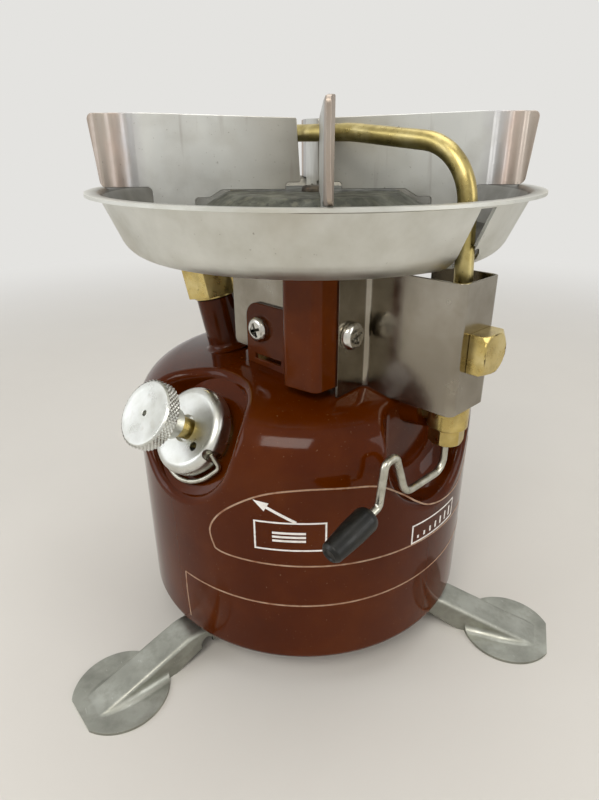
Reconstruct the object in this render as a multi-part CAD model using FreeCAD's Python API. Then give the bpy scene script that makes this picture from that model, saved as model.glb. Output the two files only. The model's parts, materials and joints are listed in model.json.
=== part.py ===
import FreeCAD
import Part

import math
import os

from FreeCAD import Placement, Rotation, Vector

# Small pressure stove for liquid fuel, in millimetres, +Z up.
# The origin is on the tank's axis at the level of the surface that the feet stand on.
# +Y points to the back of the stove and +X to the right. Azimuths are degrees from +X.

ORIGIN = Vector(0, 0, 0)
UP = Vector(0, 0, 1)
FIT = 0.06  # radial running clearance of shafts in their bores
REACH = 200.0  # longer than any piece, for cutting tools

# Tank: a drawn steel can with a domed top and a base set into it
TANK_RADIUS = 56.35
TANK_BOTTOM = 11.9
TANK_SHEET = 0.9
TANK_CORNER = 2.5
SHOULDER_RADIUS = 16.0
SHOULDER_Z = 76.0
DOME_SLOPE = 11.2  # degrees, where the dome leaves the shoulder
BASE_FLAT_Z = 12.8
BASE_LIP = 5.0
BASE_DISH_RADIUS = 24.0
BASE_DISH_RISE = 4.5

# Recess and axis of the pump
PUMP_AZIMUTH = -130.5
PUMP_ELEVATION = 36.5
PUMP_SEAT_RADIUS = 43.6
PUMP_SEAT_Z = 77.1
RECESS_RADIUS = 18.0
RECESS_FLARE = 19.0  # degrees
RIM_ROUND = 2.4

# Pocket of the valve
VALVE_AZIMUTH = -42.0
VALVE_AXIS_RADIUS = 56.6
POCKET_RADIUS = 19.0
POCKET_Z = 79.0
POCKET_SEAT = 45.0
POCKET_ROUND = 8.0

# Filler
FILLER_X = -25.9
FILLER_Z = 94.5
FILLER_LEAN = 11.0
NECK_RADIUS = 6.15
NECK_TOP = 17.0
NECK_THREAD_RADIUS = 5.2
NECK_THREAD_TOP = 24.5
NECK_BORE = 3.9
CAP_ACROSS_FLATS = 15.0
CAP_TOP = 29.0

# Pump, as heights above the seat of its recess along the pump's axis
BARREL_RADIUS = 8.5
BARREL_BORE = 7.7
BARREL_END = -62.0
CAP_RADIUS = 13.1
CAP_BACK = 2.6
CAP_FRONT = 8.2
CLIP_WIRE = 0.7
CLIP_RADIUS = 14.4
CLIP_RISE = 1.8
CLIP_TURN = -36  # where the wire leaves the loop for the notch
CLIP_NOTCH = Vector(12.5, -3.9, 0)
ROD_RADIUS = 3.1
COLLAR_STEP = 1.1
ROD_BORE = 1.4
ROD_END = -57.6
KNOB_FRONT = 23.4
KNOB_RADIUS = 9.8
KNOB_THICKNESS = 4.4
STEM_TOP = 10.0
STEM_RADIUS = ROD_BORE - FIT
BALL_RADIUS = 1.4
BALL_SEAT = BARREL_END - 1.0

# Burner assembly, on its own axis a little to the right of the tank's
BURNER = Vector(3.0, 0, 0)
BOWL_BOTTOM = 127.6
BOWL_SHEET = 0.8
BOWL_CORNER = Vector(55.0, 0, BOWL_BOTTOM)
BOWL_CORNER_ROUND = 8.0
RIM_Z = 144.2
RIM_FOOT = 62.0
RIM_RADIUS = 65.6
BASE_RADIUS = 34.0
BASE_TOP = 138.5
HOOD_FLAT = 26.2
HOOD_RADIUS = 33.4
HOOD_EDGE_Z = 139.6
BURNER_TOP = 143.6
PORT_RADIUS = 25.6
RING_PITCH = 1.0
RING_WAVES = 36
MIXER_Z = 113.5
MIXER_RADIUS = 7.0
MIXER_BORE = 6.2
MIXER_MOUTH = 18.0

# Pan supports
# azimuth, sideways shift to the left of it, and reach of the inner end
BLADES = ((4.1, 0.0, 5.0), (97.4, -2.3, 5.0), (184.1, 0.0, 5.0), (-87.2, 2.0, 7.0))
BLADE_SHEET = 1.1
BLADE_TOP = 165.0
BLADE_DIP = 1.5  # fall of the top edge towards the middle
BLADE_LEVEL = 48.0  # reach where the top edge starts to be level
BLADE_OUTER = 65.2

# Generator, in the upright plane through the burner's axis and the valve's
GENERATOR_AZIMUTH = -44.11
VALVE_REACH = 54.4
TUBE_RADIUS = 2.35
TUBE_BORE = 1.6
TUBE_SLOT = 3.0  # radius of its passages through the bowl
BEND_REACH = 52.3
BEND_Z = 156.1
CROSSING_RISE = 0.09
DESCENT_REACH = -38.6
JET_REACH = -28.5

# Sheet-metal bracket, burner leg and heat shield
BRACKET_NORMAL = -131.7
BRACKET_SHEET = 1.2
BRACKET_BOTTOM = 95.6
BRACKET_TOP = 126.6
LUG_DISTANCE = 25.0  # from the burner's axis to the lug's front face
LUG_TOP = 114.0
LEG_PLATE_HALF = 11.3
SHIELD_SHEET = 0.8
SHIELD_BOTTOM = 92.0
SHIELD_TOP = 126.55
SHIELD_NORMAL = -42.6
SCREW_RADIUS = 3.9

# Valve, on an upright axis
BODY_BOTTOM = 84.5
GLAND_TOP = 87.0
COLLAR_RADIUS = 5.6
BODY_TOP = 118.0
ARM_Z = 88.75
ARM_RADIUS = 4.0
ARM_BORE = 1.5
BOSS_RADIUS = 6.0
PLUG_Z = 108.5
PLUG_SIDE = 10.3
PLUG_DEPTH = 4.8
PLUG_SHANK = 3.4
PANEL_OFFSET = 6.45  # from the valve's axis to the shield's outer face
SPINDLE_RADIUS = 2.5
SHAFT_RADIUS = 1.8
PIN_RADIUS = 1.2
PIN_FOOT = 92.1
NUT_ACROSS_FLATS = 8.8
NUT_BOTTOM = 79.7
LEVER_TOP = 81.9
LEVER_LAST = (29.6, 71.7)  # last bend of the lever as reach and height
LEVER_END = (45.4, 67.6)
LEVER_AZIMUTH = -132.0
WIRE_RADIUS = 1.1

# Folding legs: pivot radius, pivot azimuth and the direction in which the leg stands out
LEGS = {
    "leg_left": (45.6, -128.7, -135.8),
    "leg_right": (42.2, -25.6, -16.9),
    "leg_rear": (44.0, 103.0, 103.5),
}
LEG_LENGTH = 36.0
LEG_WIDTH = 11.0
LEG_SHEET = 1.0
LEG_TOP = 10.8
PAD_RADIUS = 14.8
TIP_CUT = 13.2  # distance of the straight tip from the centre of the pad
PRESSED_ROUND = 1.4
VALLEY_ROUND = 2.5
RIDGE_SINK = 0.5  # how far the leg's ridge would end under the pad's top
RIVET_RADIUS = 2.5


def polar(radius, azimuth, z=0.0, centre=ORIGIN):
    angle = math.radians(azimuth)
    return centre + Vector(radius * math.cos(angle), radius * math.sin(angle), z)


def save(name, *solids):
    shape = solids[0] if len(solids) == 1 else Part.makeCompound(solids)
    shape.exportStep(os.path.join("parts", name + ".step"))


def corner_arc(before, point, after, radius):
    # start, middle and end of the arc that rounds the corner at point
    into = (point - before).normalize()
    out = (after - point).normalize()
    half_turn = into.getAngle(out) / 2
    reach = radius * math.tan(half_turn)
    inward = (out - into).normalize()
    middle = point + inward * (radius / math.cos(half_turn) - radius)
    return point - into * reach, middle, point + out * reach


def route(points, radii, closed=False):
    # straight runs through the points, joined by tangent arcs of the given radii
    count = len(points)
    corners = []
    for i, point in enumerate(points):
        if radii[i]:
            corners.append(corner_arc(points[i - 1], point, points[(i + 1) % count], radii[i]))
        else:
            corners.append((point, None, point))
    edges = []
    for i, (start, middle, end) in enumerate(corners):
        if middle:
            edges.append(Part.Arc(start, middle, end).toShape())
        following = corners[(i + 1) % count][0]
        if (closed or i < count - 1) and not end.isEqual(following, 1e-6):
            edges.append(Part.LineSegment(end, following).toShape())
    return Part.Wire(edges)


def placed(shape, base, axis=UP, across=None):
    # stands a shape that was made along +Z on base, with its Z along axis and X along across
    if across is None:
        turn = Rotation(UP, axis)
    else:
        turn = Rotation(across, axis.cross(across), axis, "ZXY")
    shape = shape.copy()
    shape.Placement = Placement(base, turn).multiply(shape.Placement)
    return shape


def flat(outline, radii=None):
    # face in the XZ plane from (x, z) points
    points = [Vector(x, 0, z) for x, z in outline]
    return Part.Face(route(points, radii or [0] * len(points), closed=True))


def turned(outline, base=ORIGIN, axis=UP, radii=None):
    # solid of revolution from (radius, height) points
    return placed(flat(outline, radii).revolve(ORIGIN, UP, 360), base, axis)


def ring(outer, inner, bottom, top, base=ORIGIN, axis=UP):
    return turned([(inner, bottom), (outer, bottom), (outer, top), (inner, top)], base, axis)


def rod(radius, bottom, top, base=ORIGIN, axis=UP):
    return placed(Part.makeCylinder(radius, top - bottom, Vector(0, 0, bottom)), base, axis)


def polygon_prism(sides, across_flats, bottom, top):
    radius = across_flats / 2 / math.cos(math.pi / sides)
    points = [polar(radius, 360 / sides * i, bottom) for i in range(sides)]
    face = Part.Face(Part.makePolygon(points + points[:1]))
    return face.extrude(Vector(0, 0, top - bottom))


def hex_prism(across_flats, bottom, top, chamfer):
    # hexagon with its upper corners turned down
    half = across_flats / 2
    point = half / math.cos(math.pi / 6)
    outline = [(0, bottom), (point, bottom), (point, top - chamfer), (half - 0.2, top), (0, top)]
    return polygon_prism(6, across_flats, bottom, top).common(turned(outline))


def sheet(points, radii, thickness):
    # closed outline of a bent strip: its outer face runs through the points,
    # and the thickness lies to the left of the run
    inner = []
    for i, point in enumerate(points):
        ahead = (points[i + 1] - point).normalize() if i < len(points) - 1 else None
        behind = (point - points[i - 1]).normalize() if i > 0 else None
        along = (ahead or behind) if not (ahead and behind) else (ahead + behind).normalize()
        left = Vector(-along.y, along.x, 0)
        stretch = math.cos(along.getAngle(ahead or behind))
        inner.append(point + left * (thickness / stretch))
    inner_radii = []
    for i, radius in enumerate(radii):
        turn = 0
        if radius:
            turn = (points[i] - points[i - 1]).cross(points[i + 1] - points[i]).z
        inner_radii.append(max(radius - math.copysign(thickness, turn), 0.1) if radius else 0)
    outline = list(points) + inner[::-1]
    return Part.Face(route(outline, list(radii) + inner_radii[::-1], closed=True))


def swept(points, radii, radius, bore=0.0):
    # round bar or tube along a route
    path = route(points, radii)
    start = points[0]
    along = (points[1] - start).normalize()
    solid = path.makePipeShell([Part.Wire(Part.makeCircle(radius, start, along))], True, True)
    if bore:
        hole = path.makePipeShell([Part.Wire(Part.makeCircle(bore, start, along))], True, True)
        solid = solid.cut(hole)
    return solid


def edges_where(shape, test):
    # edges that pass the test at five points along them
    found = []
    for edge in shape.Edges:
        if edge.Degenerated:
            continue
        points = edge.discretize(5)
        if all(test(point) for point in points):
            found.append(edge)
    return found


# --- tank -----------------------------------------------------------------------------

def tank_solid(inset):
    # the whole tank's envelope, moved inwards by inset
    slope = math.radians(DOME_SLOPE)
    wall = TANK_RADIUS - inset
    floor = TANK_BOTTOM + inset
    corner = TANK_CORNER - inset
    shoulder = SHOULDER_RADIUS - inset
    centre_r = TANK_RADIUS - SHOULDER_RADIUS

    def on_shoulder(angle):
        return Vector(centre_r + shoulder * math.sin(angle), 0, SHOULDER_Z + shoulder * math.cos(angle))

    crease = on_shoulder(slope)
    dome = crease.x / math.sin(slope)
    apex = crease.z + dome * (1 - math.cos(slope))
    half = slope / 2
    on_dome = Vector(dome * math.sin(half), 0, apex - dome * (1 - math.cos(half)))
    side_foot = Vector(wall, 0, floor + corner)
    side_top = Vector(wall, 0, SHOULDER_Z)
    floor_end = Vector(wall - corner, 0, floor)
    quarter = math.pi / 4
    corner_middle = Vector(wall - corner + corner * math.sin(quarter), 0,
                           floor + corner - corner * math.cos(quarter))
    edges = [
        Part.LineSegment(Vector(0, 0, floor), floor_end).toShape(),
        Part.Arc(floor_end, corner_middle, side_foot).toShape(),
        Part.LineSegment(side_foot, side_top).toShape(),
        Part.Arc(side_top, on_shoulder((math.pi / 2 + slope) / 2), crease).toShape(),
        Part.Arc(crease, on_dome, Vector(0, 0, apex)).toShape(),
        Part.LineSegment(Vector(0, 0, apex), Vector(0, 0, floor)).toShape(),
    ]
    return Part.Face(Part.Wire(edges)).revolve(ORIGIN, UP, 360)


def pump_axis():
    outward = polar(math.cos(math.radians(PUMP_ELEVATION)), PUMP_AZIMUTH)
    return outward + UP * math.sin(math.radians(PUMP_ELEVATION))


def pump_seat():
    return polar(PUMP_SEAT_RADIUS, PUMP_AZIMUTH, PUMP_SEAT_Z)


def on_pump(shape):
    # moves a piece made along +Z onto the pump's axis; its X then runs level to the right
    return placed(shape, pump_seat(), pump_axis(), polar(1, PUMP_AZIMUTH + 90))


def pocket_tool(grow):
    # U-shaped cutter of the valve's pocket, open at the top, with a rounded inner end
    radius = POCKET_RADIUS + grow
    top = SHOULDER_Z + REACH / 4
    left_top = Vector(-radius, 0, top)
    left = Vector(-radius, 0, POCKET_Z)
    right = Vector(radius, 0, POCKET_Z)
    right_top = Vector(radius, 0, top)
    edges = [
        Part.LineSegment(left_top, left).toShape(),
        Part.Arc(left, Vector(0, 0, POCKET_Z - radius), right).toShape(),
        Part.LineSegment(right, right_top).toShape(),
        Part.LineSegment(right_top, left_top).toShape(),
    ]
    block = Part.Face(Part.Wire(edges)).extrude(Vector(0, -REACH / 4, 0))
    inner_end = edges_where(block, lambda p: abs(p.y) < 0.01 and p.z < top - 0.01)
    block = block.makeFillet(POCKET_ROUND + grow, inner_end)
    outward = Rotation(UP, VALVE_AZIMUTH + 90)
    block.Placement = Placement(polar(POCKET_SEAT - grow, VALVE_AZIMUTH), outward)
    return block


def recess_radius(height, grow):
    # of the flared recess at a height above its seat
    flare = math.radians(RECESS_FLARE)
    return RECESS_RADIUS + grow / math.cos(flare) + height * math.tan(flare)


def recess_tool(grow):
    top = REACH / 4
    seat, mouth = recess_radius(-grow, grow), recess_radius(top, grow)
    return on_pump(turned([(0, -grow), (seat, -grow), (mouth, top), (0, top)]))


def hollowed_tank(inset):
    # envelope with the pump's recess and the valve's pocket sunk into it, their rims rounded
    solid = tank_solid(inset).cut([recess_tool(inset), pocket_tool(inset)])
    axis, seat = pump_axis(), pump_seat()
    outward, across = polar(1, VALVE_AZIMUTH), polar(1, VALVE_AZIMUTH + 90)
    under_skin = tank_solid(inset + 0.02)

    def on_recess_rim(p):
        height = (p - seat).dot(axis)
        off_axis = (p - seat - axis * height).Length
        return abs(off_axis - recess_radius(height, inset)) < 0.05 and height > 0.3

    def on_pocket_rim(p):
        off_axis = math.hypot(p.dot(across), min(p.z - POCKET_Z, 0))
        in_pocket = p.dot(outward) > POCKET_SEAT - inset - 0.05 and off_axis < POCKET_RADIUS + inset + 0.05
        return in_pocket and not under_skin.isInside(p, 0.001, True)

    for on_rim in (on_recess_rim, on_pocket_rim):
        solid = solid.makeFillet(RIM_ROUND - inset, edges_where(solid, on_rim))
    return solid


def tank_shell():
    # the base closes the can from below, so the shell has no floor inside its lip
    ports = [
        rod(TANK_RADIUS - BASE_LIP, 0, BASE_FLAT_Z),
        on_pump(rod(BARREL_RADIUS, -REACH / 8, REACH / 8)),
        filler_port(),
        valve_port(),
    ]
    return hollowed_tank(0).cut(hollowed_tank(TANK_SHEET)).cut(ports)


def tank_base():
    # dished plate with an upright flange that is seamed to the shell from inside
    outer = TANK_RADIUS - TANK_SHEET
    flange_top = BASE_FLAT_Z + 6
    plate = [
        (0, BASE_FLAT_Z + BASE_DISH_RISE),
        (BASE_DISH_RADIUS, BASE_FLAT_Z + BASE_DISH_RISE),
        (BASE_DISH_RADIUS + 4, BASE_FLAT_Z),
        (outer, BASE_FLAT_Z),
        (outer, flange_top),
        (outer - TANK_SHEET, flange_top),
        (outer - TANK_SHEET, BASE_FLAT_Z + TANK_SHEET),
        (BASE_DISH_RADIUS + 4.4, BASE_FLAT_Z + TANK_SHEET),
        (BASE_DISH_RADIUS + 0.4, BASE_FLAT_Z + BASE_DISH_RISE + TANK_SHEET),
        (0, BASE_FLAT_Z + BASE_DISH_RISE + TANK_SHEET),
    ]
    inner_corner = TANK_CORNER - TANK_SHEET
    radii = [0, 1.5, 2, inner_corner, 0, 0, inner_corner / 2, 1.2, 2.2, 0]
    return turned(plate, radii=radii)


# --- filler ---------------------------------------------------------------------------

def on_filler(shape):
    lean = math.radians(FILLER_LEAN)
    axis = Vector(-math.sin(lean), 0, math.cos(lean))
    return placed(shape, Vector(FILLER_X, 0, FILLER_Z), axis, Vector(0, 1, 0))


def filler_port():
    return on_filler(rod(NECK_RADIUS, -6, 6))


def filler_neck():
    # tube brazed into the dome, with a thinner threaded end
    outline = [
        (NECK_BORE, -5), (NECK_RADIUS, -5), (NECK_RADIUS, NECK_TOP),
        (NECK_THREAD_RADIUS, NECK_TOP), (NECK_THREAD_RADIUS, NECK_THREAD_TOP),
        (NECK_BORE, NECK_THREAD_TOP),
    ]
    return on_filler(turned(outline))


def filler_gasket():
    inside = CAP_TOP - 2.6
    return on_filler(ring(NECK_THREAD_RADIUS - 0.2, NECK_BORE, NECK_THREAD_TOP, inside))


def filler_cap():
    block = hex_prism(CAP_ACROSS_FLATS, NECK_TOP + 1.2, CAP_TOP, 1.2)
    skirt = ring(6.7, NECK_THREAD_RADIUS + FIT, NECK_TOP + 0.4, NECK_TOP + 1.2)
    bore = rod(NECK_THREAD_RADIUS + FIT, NECK_TOP - 1, CAP_TOP - 2.6)
    return on_filler(block.cut(bore).fuse(skirt))


# --- pump -----------------------------------------------------------------------------

def pump_barrel():
    # tube with a flange that is brazed to the seat of the recess
    flange_radius = CAP_RADIUS - 3.5
    outline = [
        (BARREL_BORE, BARREL_END), (BARREL_RADIUS, BARREL_END), (BARREL_RADIUS, 0),
        (flange_radius + 1.6, 0), (flange_radius + 1.6, 1.0), (flange_radius, 1.0),
        (flange_radius, 4.6), (BARREL_BORE, 4.6),
    ]
    return on_pump(turned(outline))


def pump_cap():
    # screwed cup with a rounded front edge, a vent and a notch for the clip
    skirt_bore = CAP_RADIUS - 3.5
    outline = [
        (ROD_RADIUS + FIT, CAP_FRONT - 3.4), (skirt_bore, CAP_FRONT - 3.4), (skirt_bore, CAP_BACK),
        (CAP_RADIUS, CAP_BACK), (CAP_RADIUS, CAP_FRONT), (ROD_RADIUS + 0.8, CAP_FRONT),
        (ROD_RADIUS + 0.8, CAP_FRONT - 1.4), (ROD_RADIUS + FIT, CAP_FRONT - 1.4),
    ]
    cup = turned(outline, radii=[0, 0, 0, 0.6, 2.6, 0.3, 0, 0])
    vent = rod(1.3, 0, REACH / 8).translated(Vector(6.5, -3.5, 0))
    notch = rod(1.7, 0, REACH / 8).translated(CLIP_NOTCH)
    return on_pump(cup.cut([vent, notch]))


def pump_clip():
    # open loop of spring wire behind the cap, hooked up into the cap's notch
    def on_loop(angle):
        return polar(CLIP_RADIUS, angle, CLIP_RISE)

    far, near = on_loop(60), on_loop(CLIP_TURN)
    corner = near + polar(3.0, CLIP_TURN + 90)
    hook = route([near, corner, CLIP_NOTCH + Vector(-0.87, 0.48, 5.4)], [0, 1.6, 0])
    path = Part.Wire([Part.Arc(far, on_loop(-171), near).toShape()] + hook.Edges)
    section = Part.Wire(Part.makeCircle(CLIP_WIRE, far, polar(1, 60 + 90)))
    return on_pump(path.makePipeShell([section], True, True))


def pump_rod():
    # hollow rod with a collar above the piston and a head below it
    collar = ROD_RADIUS + COLLAR_STEP
    outline = [
        (ROD_BORE, ROD_END), (collar, ROD_END), (collar, ROD_END + 1.2), (ROD_RADIUS, ROD_END + 1.2),
        (ROD_RADIUS, ROD_END + 12), (collar, ROD_END + 12), (collar, ROD_END + 13.2),
        (ROD_RADIUS, ROD_END + 13.2), (ROD_RADIUS, KNOB_FRONT - 5), (ROD_BORE, KNOB_FRONT - 5),
    ]
    return on_pump(turned(outline))


def pump_cup():
    # leather cup washer, open towards the tank
    bottom = ROD_END + 1.5
    wall = BARREL_BORE - 0.08
    outline = [
        (wall - 1.4, bottom), (wall, bottom), (wall, bottom + 7.5), (ROD_RADIUS + FIT, bottom + 7.5),
        (ROD_RADIUS + FIT, bottom + 6), (wall - 1.4, bottom + 6),
    ]
    return on_pump(turned(outline, radii=[0, 0, 1.6, 0, 0, 0.6]))


def piston_washer():
    bottom = ROD_END + 9.0
    return on_pump(ring(6.4, ROD_RADIUS + FIT, bottom, bottom + 2.6))


def knurled(radius, bottom, top, teeth, depth):
    # disc with V grooves cut along its rim
    disc = turned([(0, bottom), (radius, bottom), (radius, top), (0, top)], radii=[0, 0.5, 0.5, 0])
    groove = polygon_prism(4, depth * 1.4, bottom - 1, top + 1)
    return disc.cut([groove.translated(polar(radius, 360 / teeth * i)) for i in range(teeth)])


def pump_knob():
    back = KNOB_FRONT - KNOB_THICKNESS
    disc = knurled(KNOB_RADIUS, back, KNOB_FRONT, 40, 0.9)
    dished = turned([(0, KNOB_FRONT - 0.7), (KNOB_RADIUS - 2.4, KNOB_FRONT - 0.7),
                     (KNOB_RADIUS - 1.6, KNOB_FRONT + 0.1), (0, KNOB_FRONT + 0.1)])
    hub = turned([(0, back - 6.5), (4.4, back - 6.5), (5.2, back), (0, back)])
    socket = rod(ROD_RADIUS, back - 7, KNOB_FRONT - 5)
    air_hole = rod(ROD_BORE, 0, KNOB_FRONT + 1)
    return on_pump(disc.fuse(hub).cut([dished, socket, air_hole]))


def check_valve():
    # plug in the barrel's inner end, with a ball chamber under the air stem's bore
    outline = [
        (0, BARREL_END - 5.6), (6.6, BARREL_END - 5.6), (6.6, BARREL_END - 3.0),
        (BARREL_RADIUS, BARREL_END - 3.0), (BARREL_RADIUS, BARREL_END), (BARREL_BORE, BARREL_END),
        (BARREL_BORE, BARREL_END + 1.4), (0, BARREL_END + 1.4),
    ]
    chamber = rod(2.0, BARREL_END - 4.8, BALL_SEAT)
    stem_bore = rod(STEM_RADIUS + FIT, BARREL_END - 3, REACH / 4)
    outlet = rod(0.7, BARREL_END - 7, BARREL_END)
    return on_pump(turned(outline).cut([chamber, stem_bore, outlet]))


def check_ball():
    # closes against the edge of the stem's bore
    return on_pump(Part.makeSphere(BALL_RADIUS, Vector(0, 0, BALL_SEAT - 0.36)))


def air_stem():
    tip = BARREL_END + 0.4
    outline = [(0, tip), (STEM_RADIUS, tip + 1), (STEM_RADIUS, STEM_TOP), (0, STEM_TOP)]
    return on_pump(turned(outline))


# --- valve ----------------------------------------------------------------------------

def valve_axis(z=0.0):
    return polar(VALVE_AXIS_RADIUS, VALVE_AZIMUTH, z)


def valve_port():
    return rod(BOSS_RADIUS, POCKET_SEAT - 3, POCKET_SEAT + 3, Vector(0, 0, ARM_Z), polar(1, VALVE_AZIMUTH))


def valve_bung():
    # tapered boss brazed into the pocket's upper edge
    base = Vector(0, 0, ARM_Z)
    back, front = POCKET_SEAT - 3, POCKET_SEAT + 5.6
    outline = [
        (ARM_RADIUS, back), (BOSS_RADIUS, back), (BOSS_RADIUS, POCKET_SEAT),
        (BOSS_RADIUS + 1.2, POCKET_SEAT), (BOSS_RADIUS + 0.2, front), (ARM_RADIUS, front),
    ]
    return turned(outline, base, polar(1, VALVE_AZIMUTH))


def valve_body():
    # upright body with an arm into the tank and an arm to the heat shield
    upright = turned([
        (0, BODY_BOTTOM), (COLLAR_RADIUS, BODY_BOTTOM), (COLLAR_RADIUS, 112), (4.2, 112.6),
        (4.2, BODY_TOP), (0, BODY_TOP),
    ], valve_axis(), radii=[0, 0.8, 0, 0, 0.4, 0])
    inward = polar(1, VALVE_AZIMUTH)
    tank_arm = rod(ARM_RADIUS, POCKET_SEAT - 3, VALVE_AXIS_RADIUS, Vector(0, 0, ARM_Z), inward)
    outward = polar(1, SHIELD_NORMAL)
    shield_arm = rod(5.0, 0, PANEL_OFFSET - SHIELD_SHEET, valve_axis(PLUG_Z), outward)
    bores = [
        rod(3.5, BODY_BOTTOM - 1, GLAND_TOP, valve_axis()),
        rod(SPINDLE_RADIUS + FIT, GLAND_TOP - 1, PIN_FOOT + 1.3, valve_axis()),
        rod(PIN_RADIUS + FIT, PIN_FOOT, 106, valve_axis()),
        rod(TUBE_RADIUS + FIT, 106, BODY_TOP + 1, valve_axis()),
        rod(ARM_BORE, POCKET_SEAT - 4, VALVE_AXIS_RADIUS, Vector(0, 0, ARM_Z), inward),
        rod(4.0, PANEL_OFFSET - PLUG_SHANK, PANEL_OFFSET, valve_axis(PLUG_Z), outward),
    ]
    return upright.fuse([tank_arm, shield_arm]).cut(bores)


def valve_plug():
    # square head with its outer corners turned down, and a shank through the shield
    outward = polar(1, SHIELD_NORMAL)
    level = polar(1, SHIELD_NORMAL + 90)
    head = polygon_prism(4, PLUG_SIDE, 0, PLUG_DEPTH)
    head = placed(head, ORIGIN, UP, polar(1, 45))
    cone = turned([(0, 0), (PLUG_SIDE, 0), (PLUG_SIDE, 1.6), (PLUG_SIDE / 2, PLUG_DEPTH), (0, PLUG_DEPTH)])
    shank = rod(4.0 - FIT, -PLUG_SHANK, 0)
    return placed(head.common(cone).fuse(shank), valve_axis(PLUG_Z) + outward * PANEL_OFFSET, outward, level)


def pickup_tube():
    # draws fuel from just above the base
    outer = polar(POCKET_SEAT - 7.4, VALVE_AZIMUTH, 17.0)
    top = polar(POCKET_SEAT - 7.4, VALVE_AZIMUTH, ARM_Z)
    mouth = polar(POCKET_SEAT - 3, VALVE_AZIMUTH, ARM_Z)
    return swept([outer, top, mouth], [0, 2.3, 0], 1.5, 0.9)


def gland_nut():
    nose = rod(3.4, BODY_BOTTOM, BODY_BOTTOM + 1.2)
    block = hex_prism(NUT_ACROSS_FLATS, -BODY_BOTTOM, -NUT_BOTTOM, 0.8)
    block = block.mirror(ORIGIN, UP)
    bore = rod(SHAFT_RADIUS + FIT, NUT_BOTTOM - 1, GLAND_TOP)
    return placed(block.fuse(nose).cut(bore), valve_axis())


def gland_packing():
    return ring(3.45, SHAFT_RADIUS + FIT, BODY_BOTTOM + 1.2, GLAND_TOP - 0.1, valve_axis())


def valve_spindle():
    # turned with the lever; its raised cam lifts the metering pin
    shoulder = GLAND_TOP + 0.1
    top = PIN_FOOT - 0.1
    outline = [
        (0, LEVER_TOP), (WIRE_RADIUS, LEVER_TOP), (WIRE_RADIUS, NUT_BOTTOM + 0.3),
        (SHAFT_RADIUS, NUT_BOTTOM + 0.3), (SHAFT_RADIUS, shoulder), (SPINDLE_RADIUS, shoulder),
        (SPINDLE_RADIUS, top), (0, top),
    ]
    return turned(outline, valve_axis())


def metering_pin():
    outline = [(0, PIN_FOOT), (PIN_RADIUS, PIN_FOOT), (PIN_RADIUS, 103.5), (0.3, 105.5), (0, 105.5)]
    return turned(outline, valve_axis())


def lever_point(reach, z):
    return valve_axis() + polar(reach, LEVER_AZIMUTH, z)


def lever_wire():
    # hangs from the spindle, runs out level, then over a hump to the grip
    points = [
        lever_point(0, LEVER_TOP), lever_point(0, 70.4), lever_point(18.2, 70.6), lever_point(23.5, 84.0),
        lever_point(27.9, 83.6), lever_point(*LEVER_LAST), lever_point(*LEVER_END),
    ]
    return swept(points, [0, 4.0, 4.5, 1.9, 1.9, 1.9, 0], WIRE_RADIUS)


def lever_grip():
    run = lever_point(*LEVER_END) - lever_point(*LEVER_LAST)
    start = lever_point(*LEVER_LAST) + run * 0.23
    along = run * 0.77
    outline = [
        (WIRE_RADIUS, 0), (2.9, 0), (3.55, 1.4), (3.5, 7), (2.9, 14.6), (2.0, 15.6),
        (1.5, 15.0), (0, 15.0), (0, along.Length), (WIRE_RADIUS, along.Length),
    ]
    return turned(outline, start, along, radii=[0, 0.8, 1.5, 6, 0.8, 0.3, 0, 0, 0, 0])


# --- generator and burner -------------------------------------------------------------

def generator_point(reach, z):
    return polar(reach, GENERATOR_AZIMUTH, z, BURNER)


def crossing_point(reach):
    # on the tube's straight run that rises gently from its front bend
    return generator_point(reach, BEND_Z + (BEND_REACH - reach) * CROSSING_RISE)


def generator_nut():
    block = hex_prism(9.6, 114.2, 121.2, 1.0)
    bores = [rod(4.2 + FIT, 112, BODY_TOP + 0.2), rod(TUBE_RADIUS + 0.05, 112, 125)]
    return placed(block.cut(bores), valve_axis())


def generator_tube():
    # from the valve up through the bowl's slot, across the flame, down behind the burner and in to the jet
    points = [
        generator_point(VALVE_REACH, 107.0), generator_point(VALVE_REACH, 126.0),
        crossing_point(BEND_REACH), crossing_point(15), generator_point(DESCENT_REACH, 159.6),
        generator_point(DESCENT_REACH, MIXER_Z), generator_point(JET_REACH, MIXER_Z),
    ]
    return swept(points, [0, 30, 15, 60, 9, 6, 0], TUBE_RADIUS, TUBE_BORE)


def jet_axis():
    return generator_point(JET_REACH, MIXER_Z), polar(1, GENERATOR_AZIMUTH)


def jet_nut():
    base, inward = jet_axis()
    block = hex_prism(9.0, -2.5, 5.0, 0.8)
    bores = [rod(TUBE_RADIUS, -3, 1.2), rod(TUBE_BORE, 0, 3), rod(1.8, 2.4, 6)]
    return placed(block.cut(bores), base, inward)


def jet():
    base, inward = jet_axis()
    outline = [
        (0.25, 2.4), (1.8, 2.4), (1.8, 5.0), (2.8, 5.0), (2.8, 6.6), (1.2, 8.2), (0.25, 8.2),
    ]
    return turned(outline, base, inward)


def mixing_tube():
    # draws in air around the jet and turns up into the burner
    base_top = BOWL_BOTTOM + BOWL_SHEET + 1.6
    points = [generator_point(-MIXER_MOUTH, MIXER_Z), generator_point(0, MIXER_Z),
              generator_point(0, base_top)]
    tube = swept(points, [0, 8.5, 0], MIXER_RADIUS, MIXER_BORE)
    bead = Part.makeTorus(MIXER_RADIUS, 0.5, points[0], polar(1, GENERATOR_AZIMUTH))
    return tube.fuse(bead)


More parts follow.
